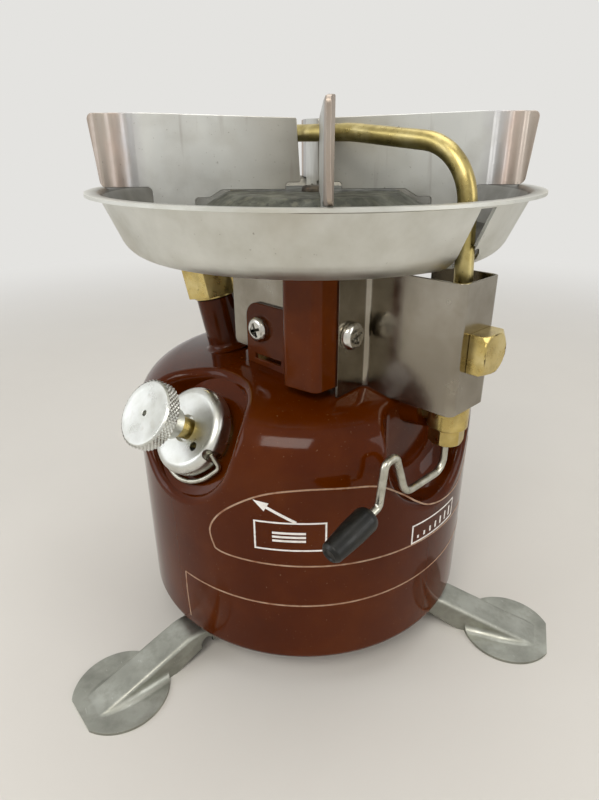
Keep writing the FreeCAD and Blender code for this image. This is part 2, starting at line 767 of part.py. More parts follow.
def bowl_outline(lift):
    # outer face of the bowl's sheet from its centre to its lip, or a face parallel to it
    flank = Vector(RIM_FOOT, 0, RIM_Z) - BOWL_CORNER
    slant = math.atan2(flank.x, flank.z)
    corner_shift = lift * math.tan((math.pi / 2 - slant) / 2)
    rim_shift = lift * math.tan(math.pi / 4 - slant / 2)
    return [
        (9.0, BOWL_BOTTOM + lift),
        (BOWL_CORNER.x - corner_shift, BOWL_BOTTOM + lift),
        (RIM_FOOT - rim_shift, RIM_Z + lift),
        (RIM_RADIUS, RIM_Z + lift),
    ]


def slot_tool(azimuth, outline, near, far):
    # cutter through the bowl: (sideways, z) outline, from near to far along the azimuth
    face = flat(outline).translated(Vector(0, -near, 0))
    tool = face.extrude(Vector(0, near - far, 0))
    tool.Placement = Placement(BURNER, Rotation(UP, azimuth + 90))
    return tool


def burner_bowl():
    below, above = bowl_outline(0), bowl_outline(BOWL_SHEET)
    radii = [0, BOWL_CORNER_ROUND, 1.0, 0, 0, 1.8, BOWL_CORNER_ROUND - BOWL_SHEET, 0]
    bowl = turned(below + above[::-1], BURNER, radii=radii)
    front_slot = [(-8.0, 120.0), (-2.1, 120.0), (-2.1, RIM_Z - 1.0), (-8.0, RIM_Z - 1.0)]
    tools = [
        slot_tool(-43.0, front_slot, 50.0, 66.0),
        rod(TUBE_SLOT, 120, 134, generator_point(VALVE_REACH, 0)),
        rod(TUBE_SLOT, 120, 134, generator_point(DESCENT_REACH, 0)),
        rod(MIXER_RADIUS, 120, 135, BURNER),
    ]
    holes = [rod(1.5, 120, 135, centre) for centre in burner_screw_centres()]
    return bowl.cut(tools + holes)


def burner_screw_centres():
    return [polar(19.0, BRACKET_NORMAL + turn, 0, BURNER) for turn in (-28, 28, 180)]


def burner_base():
    # cast cup under the port rings
    floor = BOWL_BOTTOM + BOWL_SHEET
    outline = [
        (MIXER_RADIUS, floor), (22, floor), (BASE_RADIUS, BASE_TOP - 2.5), (BASE_RADIUS, BASE_TOP),
        (PORT_RADIUS + 0.2, BASE_TOP), (PORT_RADIUS - 2.6, BASE_TOP - 1.3), (20, floor + 3.2),
        (MIXER_RADIUS, floor + 3.2),
    ]
    cup = turned(outline, BURNER, radii=[0, 2, 1.2, 0.8, 0, 1, 2, 0])
    pillar = ring(4.4, 1.6, floor + 4.0, BASE_TOP, BURNER)
    bridge = Part.makeBox(20, 3.0, 3.2, Vector(-10, -1.5, floor + 3.2)).translated(BURNER)
    bridge = bridge.cut(rod(1.6, 120, 150, BURNER))
    holes = [rod(1.5, 120, floor + 2.8, centre) for centre in burner_screw_centres()]
    return cup.fuse([pillar, bridge]).cut(holes)


def burner_ring(index):
    # port rings, flat and wavy in turn, stacked on the base
    bottom = BASE_TOP + RING_PITCH * index
    inner = PORT_RADIUS - 4.0
    thickness = RING_PITCH * (0.5 if index % 2 else 0.9)
    plate = ring(PORT_RADIUS, inner, bottom, bottom + thickness, BURNER)
    if index % 2:
        height = RING_PITCH - thickness
        crests = []
        for i in range(RING_WAVES):
            crest = Part.makeBox(PORT_RADIUS - inner, 1.6, height, Vector(inner, -0.8, bottom + thickness))
            crest.Placement = Placement(BURNER, Rotation(UP, 360 / RING_WAVES * i))
            crests.append(crest)
        plate = plate.fuse(crests)
    return plate


def burner_cap():
    # conical hood over the port rings
    bottom = BASE_TOP + 4 * RING_PITCH
    outline = [
        (1.6, bottom), (HOOD_FLAT, bottom), (HOOD_RADIUS - 0.7, HOOD_EDGE_Z - 0.5),
        (HOOD_RADIUS, HOOD_EDGE_Z), (HOOD_FLAT, BURNER_TOP), (1.6, BURNER_TOP),
    ]
    return turned(outline, BURNER, radii=[0, 0.3, 0, 0.2, 2.0, 0])


def cap_screw():
    # holds the cap down on the base's pillar
    top = BURNER_TOP
    foot = BASE_TOP - 5.0
    outline = [(0, foot), (1.55, foot), (1.55, top), (3.6, top), (3.6, top + 1.6), (0, top + 1.6)]
    screw = turned(outline, BURNER, radii=[0, 0, 0, 0, 1.0, 0])
    slot = Part.makeBox(8, 0.9, 2, Vector(-4, -0.45, top + 0.8)).translated(BURNER)
    return screw.cut(slot)


def burner_screws():
    # hold the base and the bowl to the burner leg from below
    head_top = BOWL_BOTTOM - BRACKET_SHEET
    outline = [(0, head_top - 1.8), (2.8, head_top - 1.8), (2.8, head_top), (1.45, head_top),
               (1.45, head_top + 4.4), (0, head_top + 4.4)]
    return [turned(outline, centre, radii=[0, 0.9, 0, 0, 0, 0]) for centre in burner_screw_centres()]


# --- pan supports ---------------------------------------------------------------------

def on_blade(shape, azimuth, sideways):
    # from the blade's own frame, in which it stands out along X
    base = BURNER + polar(sideways, azimuth + 90)
    shape = shape.copy()
    shape.Placement = Placement(base, Rotation(UP, azimuth)).multiply(shape.Placement)
    return shape


def blade(azimuth, sideways, inner):
    rest = RIM_Z + BOWL_SHEET + 0.02
    foot = BOWL_BOTTOM + BOWL_SHEET
    outline = [
        (inner, BLADE_TOP - BLADE_DIP), (BLADE_LEVEL, BLADE_TOP), (BLADE_OUTER, BLADE_TOP), (63.6, rest),
        (48.4, rest), (48.4, foot), (35.7, foot), (35.7, 141.9), (31.3, 141.9), (27.7, 144.1),
        (8.4, 144.1), (8.4, 146.1), (inner - 1.1, 146.1),
    ]
    radii = [0.6, 0, 1.6, 2.0, 1.5, 1.0, 1.0, 1.0, 2.0, 2.0, 0, 1.0, 0.6]
    plate = flat(outline, radii).extrude(Vector(0, BLADE_SHEET, 0))
    return on_blade(plate.translated(Vector(0, -BLADE_SHEET / 2, 0)), azimuth, sideways)


def blade_clips():
    # small bent plates beside each tab, on the floor of the bowl
    foot = BOWL_BOTTOM + BOWL_SHEET
    clips = []
    for azimuth, sideways, _ in BLADES:
        upright = Part.makeBox(6.0, 0.8, 5.0, Vector(39.5, BLADE_SHEET / 2, foot))
        floor = Part.makeBox(6.0, 4.0, 0.8, Vector(39.5, BLADE_SHEET / 2, foot))
        clips.append(on_blade(upright.fuse(floor), azimuth, sideways))
    return clips


# --- bracket, burner leg and heat shield ----------------------------------------------

def on_lug(sideways, depth, z):
    # a point by the lug: sideways along it, depth in front of its face
    outward = polar(LUG_DISTANCE + depth, BRACKET_NORMAL)
    along = polar(sideways, BRACKET_NORMAL - 90)
    return BURNER + outward + along + Vector(0, 0, z)


def lug_prism(outline, radii, near, far):
    # plate outline of (sideways, z) points, from depth near to depth far
    face = flat(outline, radii).translated(Vector(0, near, 0))
    solid = face.extrude(Vector(0, far - near, 0))
    turn = Rotation(polar(1, BRACKET_NORMAL - 90), polar(1, BRACKET_NORMAL), UP, "ZXY")
    solid.Placement = Placement(on_lug(0, 0, 0), turn)
    return solid


def bracket_screw_places():
    lug_face = on_lug(-2.3, 0, 106.4)
    strip_face = Vector(14.36, -35.66, 109.7)
    return (lug_face, BRACKET_NORMAL), (strip_face, SHIELD_NORMAL)


def screw_holes():
    return [rod(1.8, -10, 4, place, polar(1, azimuth)) for place, azimuth in bracket_screw_places()]


def tank_bracket():
    # folded bracket welded to the tank's top by the lower edge of its lug
    plan = [
        on_lug(4.1, 0, 0), on_lug(-18.9, 0, 0), Vector(-4.9, -37.1, 0), Vector(5.7, -43.8, 0),
        Vector(17.0, -31.4, 0),
    ]
    profile = sheet(plan, [0, 1.5, 2.5, 2.5, 0], BRACKET_SHEET)
    wall = profile.extrude(Vector(0, 0, BRACKET_TOP - 92.0)).translated(Vector(0, 0, 92.0))
    above_lug = lug_prism(
        [(-17.2, LUG_TOP), (4.1, LUG_TOP), (4.1, 100), (12.0, 100), (12.0, 140), (-17.2, 140)],
        [3.0, 5.0, 0, 0, 0, 0], 4, -4)
    under_body = Part.makeBox(60, 60, 30, Vector(-30, -60, BRACKET_BOTTOM - 30))
    lug_side = lug_prism([(-15.5, 80), (20, 80), (20, 120), (-15.5, 120)], None, 4, -4)
    under_body = under_body.cut(lug_side)
    slot = lug_prism([(-10.9, 96.6), (0.4, 96.6), (0.4, 98.1), (-10.9, 98.1)], None, 4, -4)
    return wall.cut([above_lug, under_body, slot, tank_solid(0)] + screw_holes()).removeSplitter()


def burner_leg():
    # plate behind the lug with a flange under the bowl
    back = -BRACKET_SHEET
    upright = lug_prism(
        [(-LEG_PLATE_HALF, 99.0), (LEG_PLATE_HALF, 99.0), (LEG_PLATE_HALF, BOWL_BOTTOM),
         (-LEG_PLATE_HALF, BOWL_BOTTOM)],
        [2, 2, 0, 0], back, 2 * back)
    flange = lug_prism(
        [(-LEG_PLATE_HALF, BOWL_BOTTOM + back), (LEG_PLATE_HALF, BOWL_BOTTOM + back),
         (LEG_PLATE_HALF, BOWL_BOTTOM), (-LEG_PLATE_HALF, BOWL_BOTTOM)],
        None, 2 * back, -12.0)
    holes = [rod(1.5, 120, 135, centre) for centre in burner_screw_centres()]
    return upright.fuse(flange).cut(screw_holes() + holes).removeSplitter()


def heat_shield():
    # folded sheet around the valve body
    panel = valve_axis() + polar(PANEL_OFFSET, SHIELD_NORMAL)
    plan = [
        Vector(11.2, -39.0, 0), Vector(19.0, -30.5, 0), panel + polar(-9.75, SHIELD_NORMAL + 90),
        panel + polar(6.95, SHIELD_NORMAL + 90), Vector(36.8, -23.6, 0),
    ]
    profile = sheet(plan, [0, 1.6, 2.2, 2.2, 0], SHIELD_SHEET)
    wall = profile.extrude(Vector(0, 0, SHIELD_TOP - SHIELD_BOTTOM)).translated(Vector(0, 0, SHIELD_BOTTOM))
    plug_hole = rod(4.0, 0, 12, valve_axis(PLUG_Z), polar(1, SHIELD_NORMAL))
    return wall.cut([tank_solid(-0.4), plug_hole] + screw_holes())


def pan_head_screw(length):
    # cross-recessed screw, its head standing on z = 0
    outline = [(0, -length), (1.6, -length), (1.6, 0), (SCREW_RADIUS, 0), (SCREW_RADIUS, 2.3), (0, 2.3)]
    screw = turned(outline, radii=[0, 0.4, 0, 0.2, 1.7, 0])
    bars = [placed(Part.makeBox(4.2, 0.8, 2, Vector(-2.1, -0.4, 1.2)), ORIGIN, UP, polar(1, turn))
            for turn in (20, 110)]
    return screw.cut(bars)


def bracket_screws():
    return [placed(pan_head_screw(6.0), place, polar(1, azimuth), polar(1, azimuth + 90))
            for place, azimuth in bracket_screw_places()]


# --- folding legs ---------------------------------------------------------------------

def leg():
    # pressed spoon: a channel from the pivot that runs down into a round pad
    half = LEG_WIDTH / 2
    tip = LEG_LENGTH + PAD_RADIUS
    above = Part.makeBox(REACH, REACH, 20, Vector(-REACH / 2, -REACH / 2, 0))

    def channel(top, width, edge_round):
        low = top - LEG_TOP + LEG_SHEET - RIDGE_SINK
        side = flat([(-20, -8), (-20, top), (13, top), (tip - 4.0, low), (tip, low), (tip, -8)],
                    [0, 0, 10, 10, 0, 0])
        block = side.extrude(Vector(0, width, 0)).translated(Vector(0, -width / 2, 0))
        upper = edges_where(block, lambda p: abs(abs(p.y) - width / 2) < 0.01 and p.z > low - 0.01)
        return block.makeFillet(edge_round, upper)

    def tongue(radius):
        block = Part.makeBox(tip, 2 * radius, 20, Vector(0, -radius, -6))
        return block.fuse(Part.makeCylinder(radius, 20, Vector(0, 0, -6)))

    outer = channel(LEG_TOP, LEG_WIDTH, PRESSED_ROUND).common(tongue(half)).common(above)
    raised_edge = flat([(-20, -1), (22, -1), (10, 4.0), (-20, 6.6)]).extrude(Vector(0, 40, 0))
    outer = outer.cut(raised_edge.translated(Vector(0, -20, 0)))
    pad = Part.makeCylinder(PAD_RADIUS, LEG_SHEET, Vector(LEG_LENGTH, 0, 0))
    inner = channel(LEG_TOP - LEG_SHEET, LEG_WIDTH - 2 * LEG_SHEET, PRESSED_ROUND - LEG_SHEET)
    inner = inner.common(tongue(half - LEG_SHEET))
    inside_pad = Part.makeCylinder(PAD_RADIUS - 1.5, 20, Vector(LEG_LENGTH, 0, -5))
    under_neck = Part.makeBox(LEG_LENGTH + 20, LEG_WIDTH, 20, Vector(-20, -half, -5))
    inner = inner.common(under_neck.fuse(inside_pad))
    body = outer.common(Part.makeCylinder(PAD_RADIUS, 30, Vector(LEG_LENGTH, 0, -5)).fuse(
        Part.makeBox(LEG_LENGTH + 8, 20, 30, Vector(-8, -10, -5))))
    hole = Part.makeCylinder(RIVET_RADIUS + FIT, 30, ORIGIN)
    notch = Part.makeCylinder(2.3, half + 5, Vector(7.5, 0, 5.2), Vector(0, 1, 0))
    spoon = body.fuse(pad).removeSplitter()
    valley = edges_where(spoon, lambda p: abs(abs(p.y) - half) < 0.01 and abs(p.z - LEG_SHEET) < 0.01)
    spoon = spoon.makeFillet(VALLEY_ROUND, valley)
    tip_end = Part.makeBox(10, 2 * PAD_RADIUS, 10, Vector(LEG_LENGTH + TIP_CUT, -PAD_RADIUS, -1))
    return spoon.cut([inner, hole, notch, tip_end]).removeSplitter()


def leg_rivets():
    # studs welded under the base, each with a shoulder above its leg and a head below
    underside = LEG_TOP - LEG_SHEET
    outline = [
        (0, underside - 1.5), (4.0, underside - 1.5), (4.0, underside - 0.3), (RIVET_RADIUS, underside - 0.3),
        (RIVET_RADIUS, LEG_TOP + 0.3), (4.6, LEG_TOP + 0.3), (4.6, BASE_FLAT_Z), (0, BASE_FLAT_Z),
    ]
    return [turned(outline, polar(radius, azimuth), radii=[0, 0.8, 0, 0, 0, 0, 0, 0])
            for radius, azimuth, _ in LEGS.values()]


def main():
    os.makedirs("parts", exist_ok=True)
    save("tank_shell", tank_shell())
    save("tank_base", tank_base())
    save("filler_neck", filler_neck())
    save("filler_gasket", filler_gasket())
    save("filler_cap", filler_cap())
    save("pump_barrel", pump_barrel())
    save("pump_cap", pump_cap())
    save("pump_clip", pump_clip())
    save("pump_rod", pump_rod())
    save("pump_cup", pump_cup())
    save("piston_washer", piston_washer())
    save("pump_knob", pump_knob())
    save("check_valve", check_valve())
    save("check_ball", check_ball())
    save("air_stem", air_stem())
    save("valve_bung", valve_bung())
    save("valve_body", valve_body())
    save("valve_plug", valve_plug())
    save("pickup_tube", pickup_tube())
    save("gland_nut", gland_nut())
    save("gland_packing", gland_packing())
    save("valve_spindle", valve_spindle())
    save("metering_pin", metering_pin())
    save("lever_wire", lever_wire())
    save("lever_grip", lever_grip())
    save("generator_nut", generator_nut())
    save("generator_tube", generator_tube())
    save("jet_nut", jet_nut())
    save("jet", jet())
    save("mixing_tube", mixing_tube())
    save("burner_bowl", burner_bowl())
    save("burner_base", burner_base())
    for index in range(4):
        save("burner_ring_{}".format(index + 1), burner_ring(index))
    save("burner_cap", burner_cap())
    save("cap_screw", cap_screw())
    save("burner_screws", *burner_screws())
    for index, (azimuth, sideways, inner) in enumerate(BLADES):
        save("blade_{}".format(index + 1), blade(azimuth, sideways, inner))
    save("blade_clips", *blade_clips())
    save("tank_bracket", tank_bracket())
    save("burner_leg", burner_leg())
    save("heat_shield", heat_shield())
    save("bracket_screws", *bracket_screws())
    for name, (pivot_radius, pivot_azimuth, direction) in LEGS.items():
        save(name, placed(leg(), polar(pivot_radius, pivot_azimuth), UP, polar(1, direction)))
    save("leg_rivets", *leg_rivets())


main()
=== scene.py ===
import json
import math

import bmesh
import bpy
from mathutils import Matrix, Vector

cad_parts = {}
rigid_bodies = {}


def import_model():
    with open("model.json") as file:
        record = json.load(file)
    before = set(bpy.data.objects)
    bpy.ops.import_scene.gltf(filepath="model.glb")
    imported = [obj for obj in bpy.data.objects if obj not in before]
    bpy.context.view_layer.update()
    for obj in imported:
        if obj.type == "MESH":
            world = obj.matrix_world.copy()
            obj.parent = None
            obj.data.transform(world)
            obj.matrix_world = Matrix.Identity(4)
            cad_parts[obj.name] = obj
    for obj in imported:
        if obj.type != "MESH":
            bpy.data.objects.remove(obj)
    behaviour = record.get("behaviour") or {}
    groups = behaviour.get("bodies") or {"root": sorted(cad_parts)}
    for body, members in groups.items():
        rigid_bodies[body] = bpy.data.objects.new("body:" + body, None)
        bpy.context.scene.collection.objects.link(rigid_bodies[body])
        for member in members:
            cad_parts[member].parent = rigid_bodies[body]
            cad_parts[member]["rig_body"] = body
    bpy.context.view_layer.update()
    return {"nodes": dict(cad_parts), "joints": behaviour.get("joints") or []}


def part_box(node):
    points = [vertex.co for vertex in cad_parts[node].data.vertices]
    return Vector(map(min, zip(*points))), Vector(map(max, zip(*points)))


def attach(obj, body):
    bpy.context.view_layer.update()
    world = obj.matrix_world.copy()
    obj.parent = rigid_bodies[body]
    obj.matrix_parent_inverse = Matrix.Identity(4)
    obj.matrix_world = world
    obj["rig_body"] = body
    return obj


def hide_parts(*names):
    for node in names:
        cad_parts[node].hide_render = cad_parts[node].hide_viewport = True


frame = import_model()
cadNodes = frame["nodes"]
joints = {joint["name"]: joint for joint in frame["joints"]}
mm = 0.001
print("stove: frame loaded with", len(cadNodes), "nodes")

# Places that several pieces share, in millimetres, read from the frame


def nodeMiddle(node):
    low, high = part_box(node)
    return (low + high) / 2 / mm


burnerCentre = nodeMiddle("burner_cap")
pumpAxis = Vector(joints["pump_stroke"]["axis"]).normalized()
knobMiddle = nodeMiddle("pump_knob")
fillerAxis = Vector(joints["filler_cap_lift"]["axis"]).normalized()
tankRadius = (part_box("tank_shell")[1].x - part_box("tank_shell")[0].x) / 2 / mm


# Node and mesh helpers

def hexColour(text):
    channels = [int(text[i:i + 2], 16) / 255 for i in (1, 3, 5)]
    return [c / 12.92 if c <= 0.04045 else ((c + 0.055) / 1.055) ** 2.4 for c in channels] + [1.0]


def addNode(tree, kind, settings=None, links=None):
    node = tree.nodes.new(kind)
    for key, value in (settings or {}).items():
        if isinstance(key, str) and hasattr(node, key):
            setattr(node, key, value)
        else:
            node.inputs[key].default_value = value
    for key, source in (links or {}).items():
        tree.links.new(source, node.inputs[key])
    return node


def frameOn(base, axis, across=None):
    # matrix that stands a piece made along +Z on base, with its Z along axis
    if across is None:
        return Matrix.Translation(base) @ axis.to_track_quat("Z", "Y").to_matrix().to_4x4()
    side = axis.cross(across)
    return Matrix.Translation(base) @ Matrix((across, side, axis)).transposed().to_4x4()


def polar(radius, azimuth, height=0.0):
    angle = math.radians(azimuth)
    return Vector((radius * math.cos(angle), radius * math.sin(angle), height))


def cadCopy(node):
    # a CAD node's mesh in millimetres, its loose triangles joined into faces
    work = bmesh.new()
    work.from_mesh(cadNodes[node].data)
    bmesh.ops.scale(work, vec=(1 / mm, 1 / mm, 1 / mm), verts=work.verts)
    bmesh.ops.remove_doubles(work, verts=work.verts, dist=0.002)
    bmesh.ops.dissolve_limit(work, angle_limit=math.radians(0.6), verts=work.verts, edges=work.edges)
    return work


def spun(profile, segments=96):
    # closed ring turned about Z from (radius, height) points
    work = bmesh.new()
    loops = []
    for radius, height in profile:
        count = segments if radius > 1e-6 else 1
        loops.append([work.verts.new(polar(radius, 360 / segments * i, height)) for i in range(count)])
    for near, far in zip(loops, loops[1:] + loops[:1]):
        if len(near) == 1 and len(far) == 1:
            continue
        for i in range(segments):
            k = (i + 1) % segments
            corners = [near[i % len(near)], near[k % len(near)], far[k % len(far)], far[i % len(far)]]
            work.faces.new(list(dict.fromkeys(corners)))
    bmesh.ops.recalc_face_normals(work, faces=work.faces)
    return work


def finishPiece(name, work, material, body, edge=0.0, replaced=(), crease=34):
    # turns a bmesh in millimetres into a piece that rides on its body, its sharp edges rounded by edge
    bmesh.ops.scale(work, vec=(mm, mm, mm), verts=work.verts)
    mesh = bpy.data.meshes.new(name)
    work.to_mesh(mesh)
    work.free()
    mesh.materials.append(material)
    mesh.shade_smooth()
    mesh.set_sharp_from_angle(angle=math.radians(crease))
    piece = bpy.data.objects.new(name, mesh)
    bpy.context.scene.collection.objects.link(piece)
    if edge:
        bevel = piece.modifiers.new("roundedEdges", "BEVEL")
        bevel.width = edge * mm
        bevel.segments = 2
        bevel.limit_method = "ANGLE"
        bevel.angle_limit = math.radians(38)
        bevel.use_clamp_overlap = False
        bevel.harden_normals = True
    weighted = piece.modifiers.new("evenShading", "WEIGHTED_NORMAL")
    weighted.keep_sharp = True
    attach(piece, body)
    if replaced:
        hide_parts(*replaced)
    return piece


def dress(node, material, edge=0.15):
    # copy of a CAD node with rounded edges, which stands for it
    return finishPiece(node + "_dressed", cadCopy(node), material, cadNodes[node]["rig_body"],
                       edge, [node])


def paint(material, *names):
    # gives CAD nodes whose shape is right their finish
    for name in names:
        for materialSlot in cadNodes[name].material_slots:
            materialSlot.material = material


# Finishes: what the surface does, shared by the materials

def startMaterial(name, settings):
    material = bpy.data.materials.new(name)
    material.use_nodes = True
    shader = material.node_tree.nodes["Principled BSDF"]
    for socket, value in settings.items():
        shader.inputs[socket].default_value = hexColour(value) if socket == "Base Color" else value
    return material, material.node_tree, shader


def surfacePoint(tree, stretch=(1, 1, 1), turn=(0, 0, 0)):
    # object coordinates, with a pattern stretched along each axis and turned, in degrees
    source = addNode(tree, "ShaderNodeTexCoord").outputs["Object"]
    settings = {"vector_type": "TEXTURE", "Rotation": [math.radians(a) for a in turn], "Scale": stretch}
    return addNode(tree, "ShaderNodeMapping", settings, {"Vector": source}).outputs["Vector"]


def axisDistance(tree, base, axis):
    # distance in metres of a surface point from a straight axis
    source = addNode(tree, "ShaderNodeTexCoord").outputs["Object"]
    offset = addNode(tree, "ShaderNodeVectorMath", {"operation": "SUBTRACT", 1: Vector(base) * mm},
                     {0: source})
    side = addNode(tree, "ShaderNodeVectorMath", {"operation": "CROSS_PRODUCT", 1: axis},
                   {0: offset.outputs[0]})
    return addNode(tree, "ShaderNodeVectorMath", {"operation": "LENGTH"},
                   {0: side.outputs[0]}).outputs["Value"]


def fillRamp(ramp, stops):
    elements = ramp.color_ramp.elements
    for element, (place, shade) in zip((elements[0], elements[1]), (stops[0], stops[-1])):
        element.position = place
        element.color = hexColour(shade)
    for place, shade in stops[1:-1]:
        elements.new(place).color = hexColour(shade)


def mottle(tree, shader, point, size, shades):
    # the colour wanders between the shades in patches of about size millimetres
    noise = addNode(tree, "ShaderNodeTexNoise", {"Scale": 1 / (size * mm), "Detail": 5.0, "Roughness": 0.6},
                    {"Vector": point})
    ramp = addNode(tree, "ShaderNodeValToRGB", {}, {"Fac": noise.outputs["Fac"]})
    fillRamp(ramp, [(0.32 + 0.36 * i / (len(shades) - 1), shade) for i, shade in enumerate(shades)])
    tree.links.new(ramp.outputs["Color"], shader.inputs["Base Color"])


def patches(tree, point, size, low, high, strength=1.0):
    # mask that is 0 where the noise is under low and strength where it is over high
    noise = addNode(tree, "ShaderNodeTexNoise", {"Scale": 1 / (size * mm), "Detail": 4.0}, {"Vector": point})
    return addNode(tree, "ShaderNodeMapRange", {"From Min": low, "From Max": high, "To Max": strength},
                   {"Value": noise.outputs["Fac"]}).outputs["Result"]


def stain(tree, shader, mask, shade):
    # lays another shade over the colour where the mask is 1
    below = shader.inputs["Base Color"].links[0].from_socket
    mix = addNode(tree, "ShaderNodeMix", {"data_type": "RGBA", 7: hexColour(shade)}, {0: mask, 6: below})
    tree.links.new(mix.outputs[2], shader.inputs["Base Color"])


def unevenGloss(tree, shader, point, size, smoothest, roughest):
    noise = addNode(tree, "ShaderNodeTexNoise", {"Scale": 1 / (size * mm), "Detail": 5.0}, {"Vector": point})
    gloss = addNode(tree, "ShaderNodeMapRange",
                    {"From Min": 0.3, "From Max": 0.7, "To Min": smoothest, "To Max": roughest},
                    {"Value": noise.outputs["Fac"]})
    tree.links.new(gloss.outputs["Result"], shader.inputs["Roughness"])


def relief(tree, shader, height, depth):
    # bumps of depth millimetres, over any relief that is there already
    below = [link.from_socket for link in shader.inputs["Normal"].links]
    bump = addNode(tree, "ShaderNodeBump", {"Distance": depth * mm}, {"Height": height})
    if below:
        tree.links.new(below[0], bump.inputs["Normal"])
    tree.links.new(bump.outputs["Normal"], shader.inputs["Normal"])


def grain(tree, point, size, detail=3.0):
    return addNode(tree, "ShaderNodeTexNoise", {"Scale": 1 / (size * mm), "Detail": detail},
                   {"Vector": point}).outputs["Fac"]


def scratches(tree, size, turn, amount):
    # mask of fine straight marks, far longer than they are wide
    point = surfacePoint(tree, stretch=(1, 1, 60), turn=turn)
    return patches(tree, point, size, 1 - amount, 1 - amount + 0.03, 0.6)


# Materials

def brownEnamel(name, shades):
    # stoved gloss enamel on steel: deep colour, a hard clear gloss, faint orange peel, a little dust
    material, tree, shader = startMaterial(name, {"Roughness": 0.2, "Specular IOR Level": 0.15})
    point = surfacePoint(tree)
    mottle(tree, shader, point, 38, shades)
    stain(tree, shader, patches(tree, point, 9, 0.58, 0.75, 0.09), "#7a3d14")
    stain(tree, shader, patches(tree, point, 0.7, 0.7, 0.74, 0.4), "#967a5e")  # dust specks
    stain(tree, shader, scratches(tree, 1.6, (35, 20, 0), 0.26), "#84583a")
    unevenGloss(tree, shader, point, 14, 0.05, 0.13)
    relief(tree, shader, grain(tree, point, 2.6), 0.012)  # orange peel, 2 to 3 mm across
    return material


# soot and painted shade inside the bowl: radii and cloud size in millimetres, how much of it lies at least,
# and how much more
bowlSootAndShade = {"cleanFrom": 65.5, "sootAndShadeTo": 60.5, "cloudSize": 7, "thinnest": 0.8, "cloudDepth": 0.17,
            "shade": "#302b22"}


def spunAluminium(name):
    # spun and blasted sheet with a satin skin, turning marks about the burner and brownish wipes
    material, tree, shader = startMaterial(name, {"Metallic": 1.0})
    point = surfacePoint(tree)
    mottle(tree, shader, point, 26, ["#c6c5bb", "#d6d6cf", "#e2e2dc"])
    stain(tree, shader, patches(tree, point, 34, 0.52, 0.68, 0.5), "#b3ad9b")
    stain(tree, shader, patches(tree, point, 1.3, 0.71, 0.76, 0.5), "#6f695b")  # specks of spilt soot
    # inside the dish, on faces turned up: cloudy soot and boiled-over food, darkened further as painted
    # shade, which stop short of the rim
    facing = addNode(tree, "ShaderNodeNewGeometry").outputs["Normal"]
    inward = addNode(tree, "ShaderNodeVectorMath", {"operation": "DOT_PRODUCT", 1: (0, 0, 1)}, {0: facing})
    inside = addNode(tree, "ShaderNodeMapRange", {"From Min": 0.2, "From Max": 0.45},
                     {"Value": inward.outputs["Value"]})
    reach = addNode(tree, "ShaderNodeMapRange",
                    {"From Min": bowlSootAndShade["cleanFrom"] * mm, "From Max": bowlSootAndShade["sootAndShadeTo"] * mm},
                    {"Value": axisDistance(tree, burnerCentre, (0, 0, 1))})
    sootAndShade = addNode(tree, "ShaderNodeMath", {"operation": "MULTIPLY"},
                   {0: inside.outputs["Result"], 1: reach.outputs["Result"]})
    cloud = patches(tree, point, bowlSootAndShade["cloudSize"], 0.25, 0.65)
    heavy = addNode(tree, "ShaderNodeMath",
                    {"operation": "MULTIPLY_ADD", 1: bowlSootAndShade["cloudDepth"], 2: bowlSootAndShade["thinnest"]},
                    {0: cloud})
    sootAndShade = addNode(tree, "ShaderNodeMath", {"operation": "MULTIPLY"},
                   {0: sootAndShade.outputs[0], 1: heavy.outputs[0]})
    stain(tree, shader, sootAndShade.outputs[0], bowlSootAndShade["shade"])
    unevenGloss(tree, shader, point, 18, 0.36, 0.54)
    rings = axisDistance(tree, burnerCentre, (0, 0, 1))
    turning = addNode(tree, "ShaderNodeTexNoise", {"noise_dimensions": "1D", "Scale": 1400.0},
                      {"W": rings})
    relief(tree, shader, turning.outputs["Fac"], 0.01)  # turning marks drawn 0.7 mm apart, to show
    relief(tree, shader, grain(tree, point, 0.5), 0.006)
    return material


# how far the heat's colours, and the painted dark reflection at the inner end, reach along a pan support,
# and how far they wander, in millimetres
heatTintAndReflection = {"reach": 70, "wander": 6}


def heatTintedSteel(name):
    # plain sheet that flames have dulled: a painted dark reflection at the inner end by the burner, grey in
    # the middle, straw and pink-brown to the ends
    material, tree, shader = startMaterial(name, {"Metallic": 0.85})
    point = surfacePoint(tree)
    reach = axisDistance(tree, burnerCentre, (0, 0, 1))
    wander = addNode(tree, "ShaderNodeMath", {"operation": "MULTIPLY_ADD", 1: heatTintAndReflection["wander"] * mm},
                     {0: grain(tree, point, 12), 2: reach})
    scaled = addNode(tree, "ShaderNodeMath", {"operation": "DIVIDE", 1: heatTintAndReflection["reach"] * mm},
                     {0: wander.outputs[0]})
    ramp = addNode(tree, "ShaderNodeValToRGB", {}, {"Fac": scaled.outputs[0]})
    # the first stop, #8a857a at the inner end, is a painted dark reflection, not a heat colour
    fillRamp(ramp, [(0.05, "#8a857a"), (0.2, "#b4b2aa"), (0.42, "#d0d1cc"), (0.74, "#d6d7d3"),
                    (0.81, "#c0bfbf"), (0.86, "#c2b1a6"), (0.92, "#bdb2a8"), (0.97, "#a39589")])
    tree.links.new(ramp.outputs["Color"], shader.inputs["Base Color"])
    stain(tree, shader, patches(tree, point, 11, 0.5, 0.72, 0.35), "#aca89e")
    stain(tree, shader, patches(tree, point, 1.0, 0.68, 0.74, 0.5), "#756d61")  # spatter
    streaks = surfacePoint(tree, stretch=(1, 1, 14))
    stain(tree, shader, patches(tree, streaks, 2.5, 0.6, 0.75, 0.3), "#7d6f66")  # runs of old spillage
    unevenGloss(tree, shader, point, 8, 0.34, 0.52)
    relief(tree, shader, grain(tree, point, 0.45), 0.006)
    relief(tree, shader, grain(tree, point, 9), 0.06)  # sheet that heat has pulled out of flat
    return material


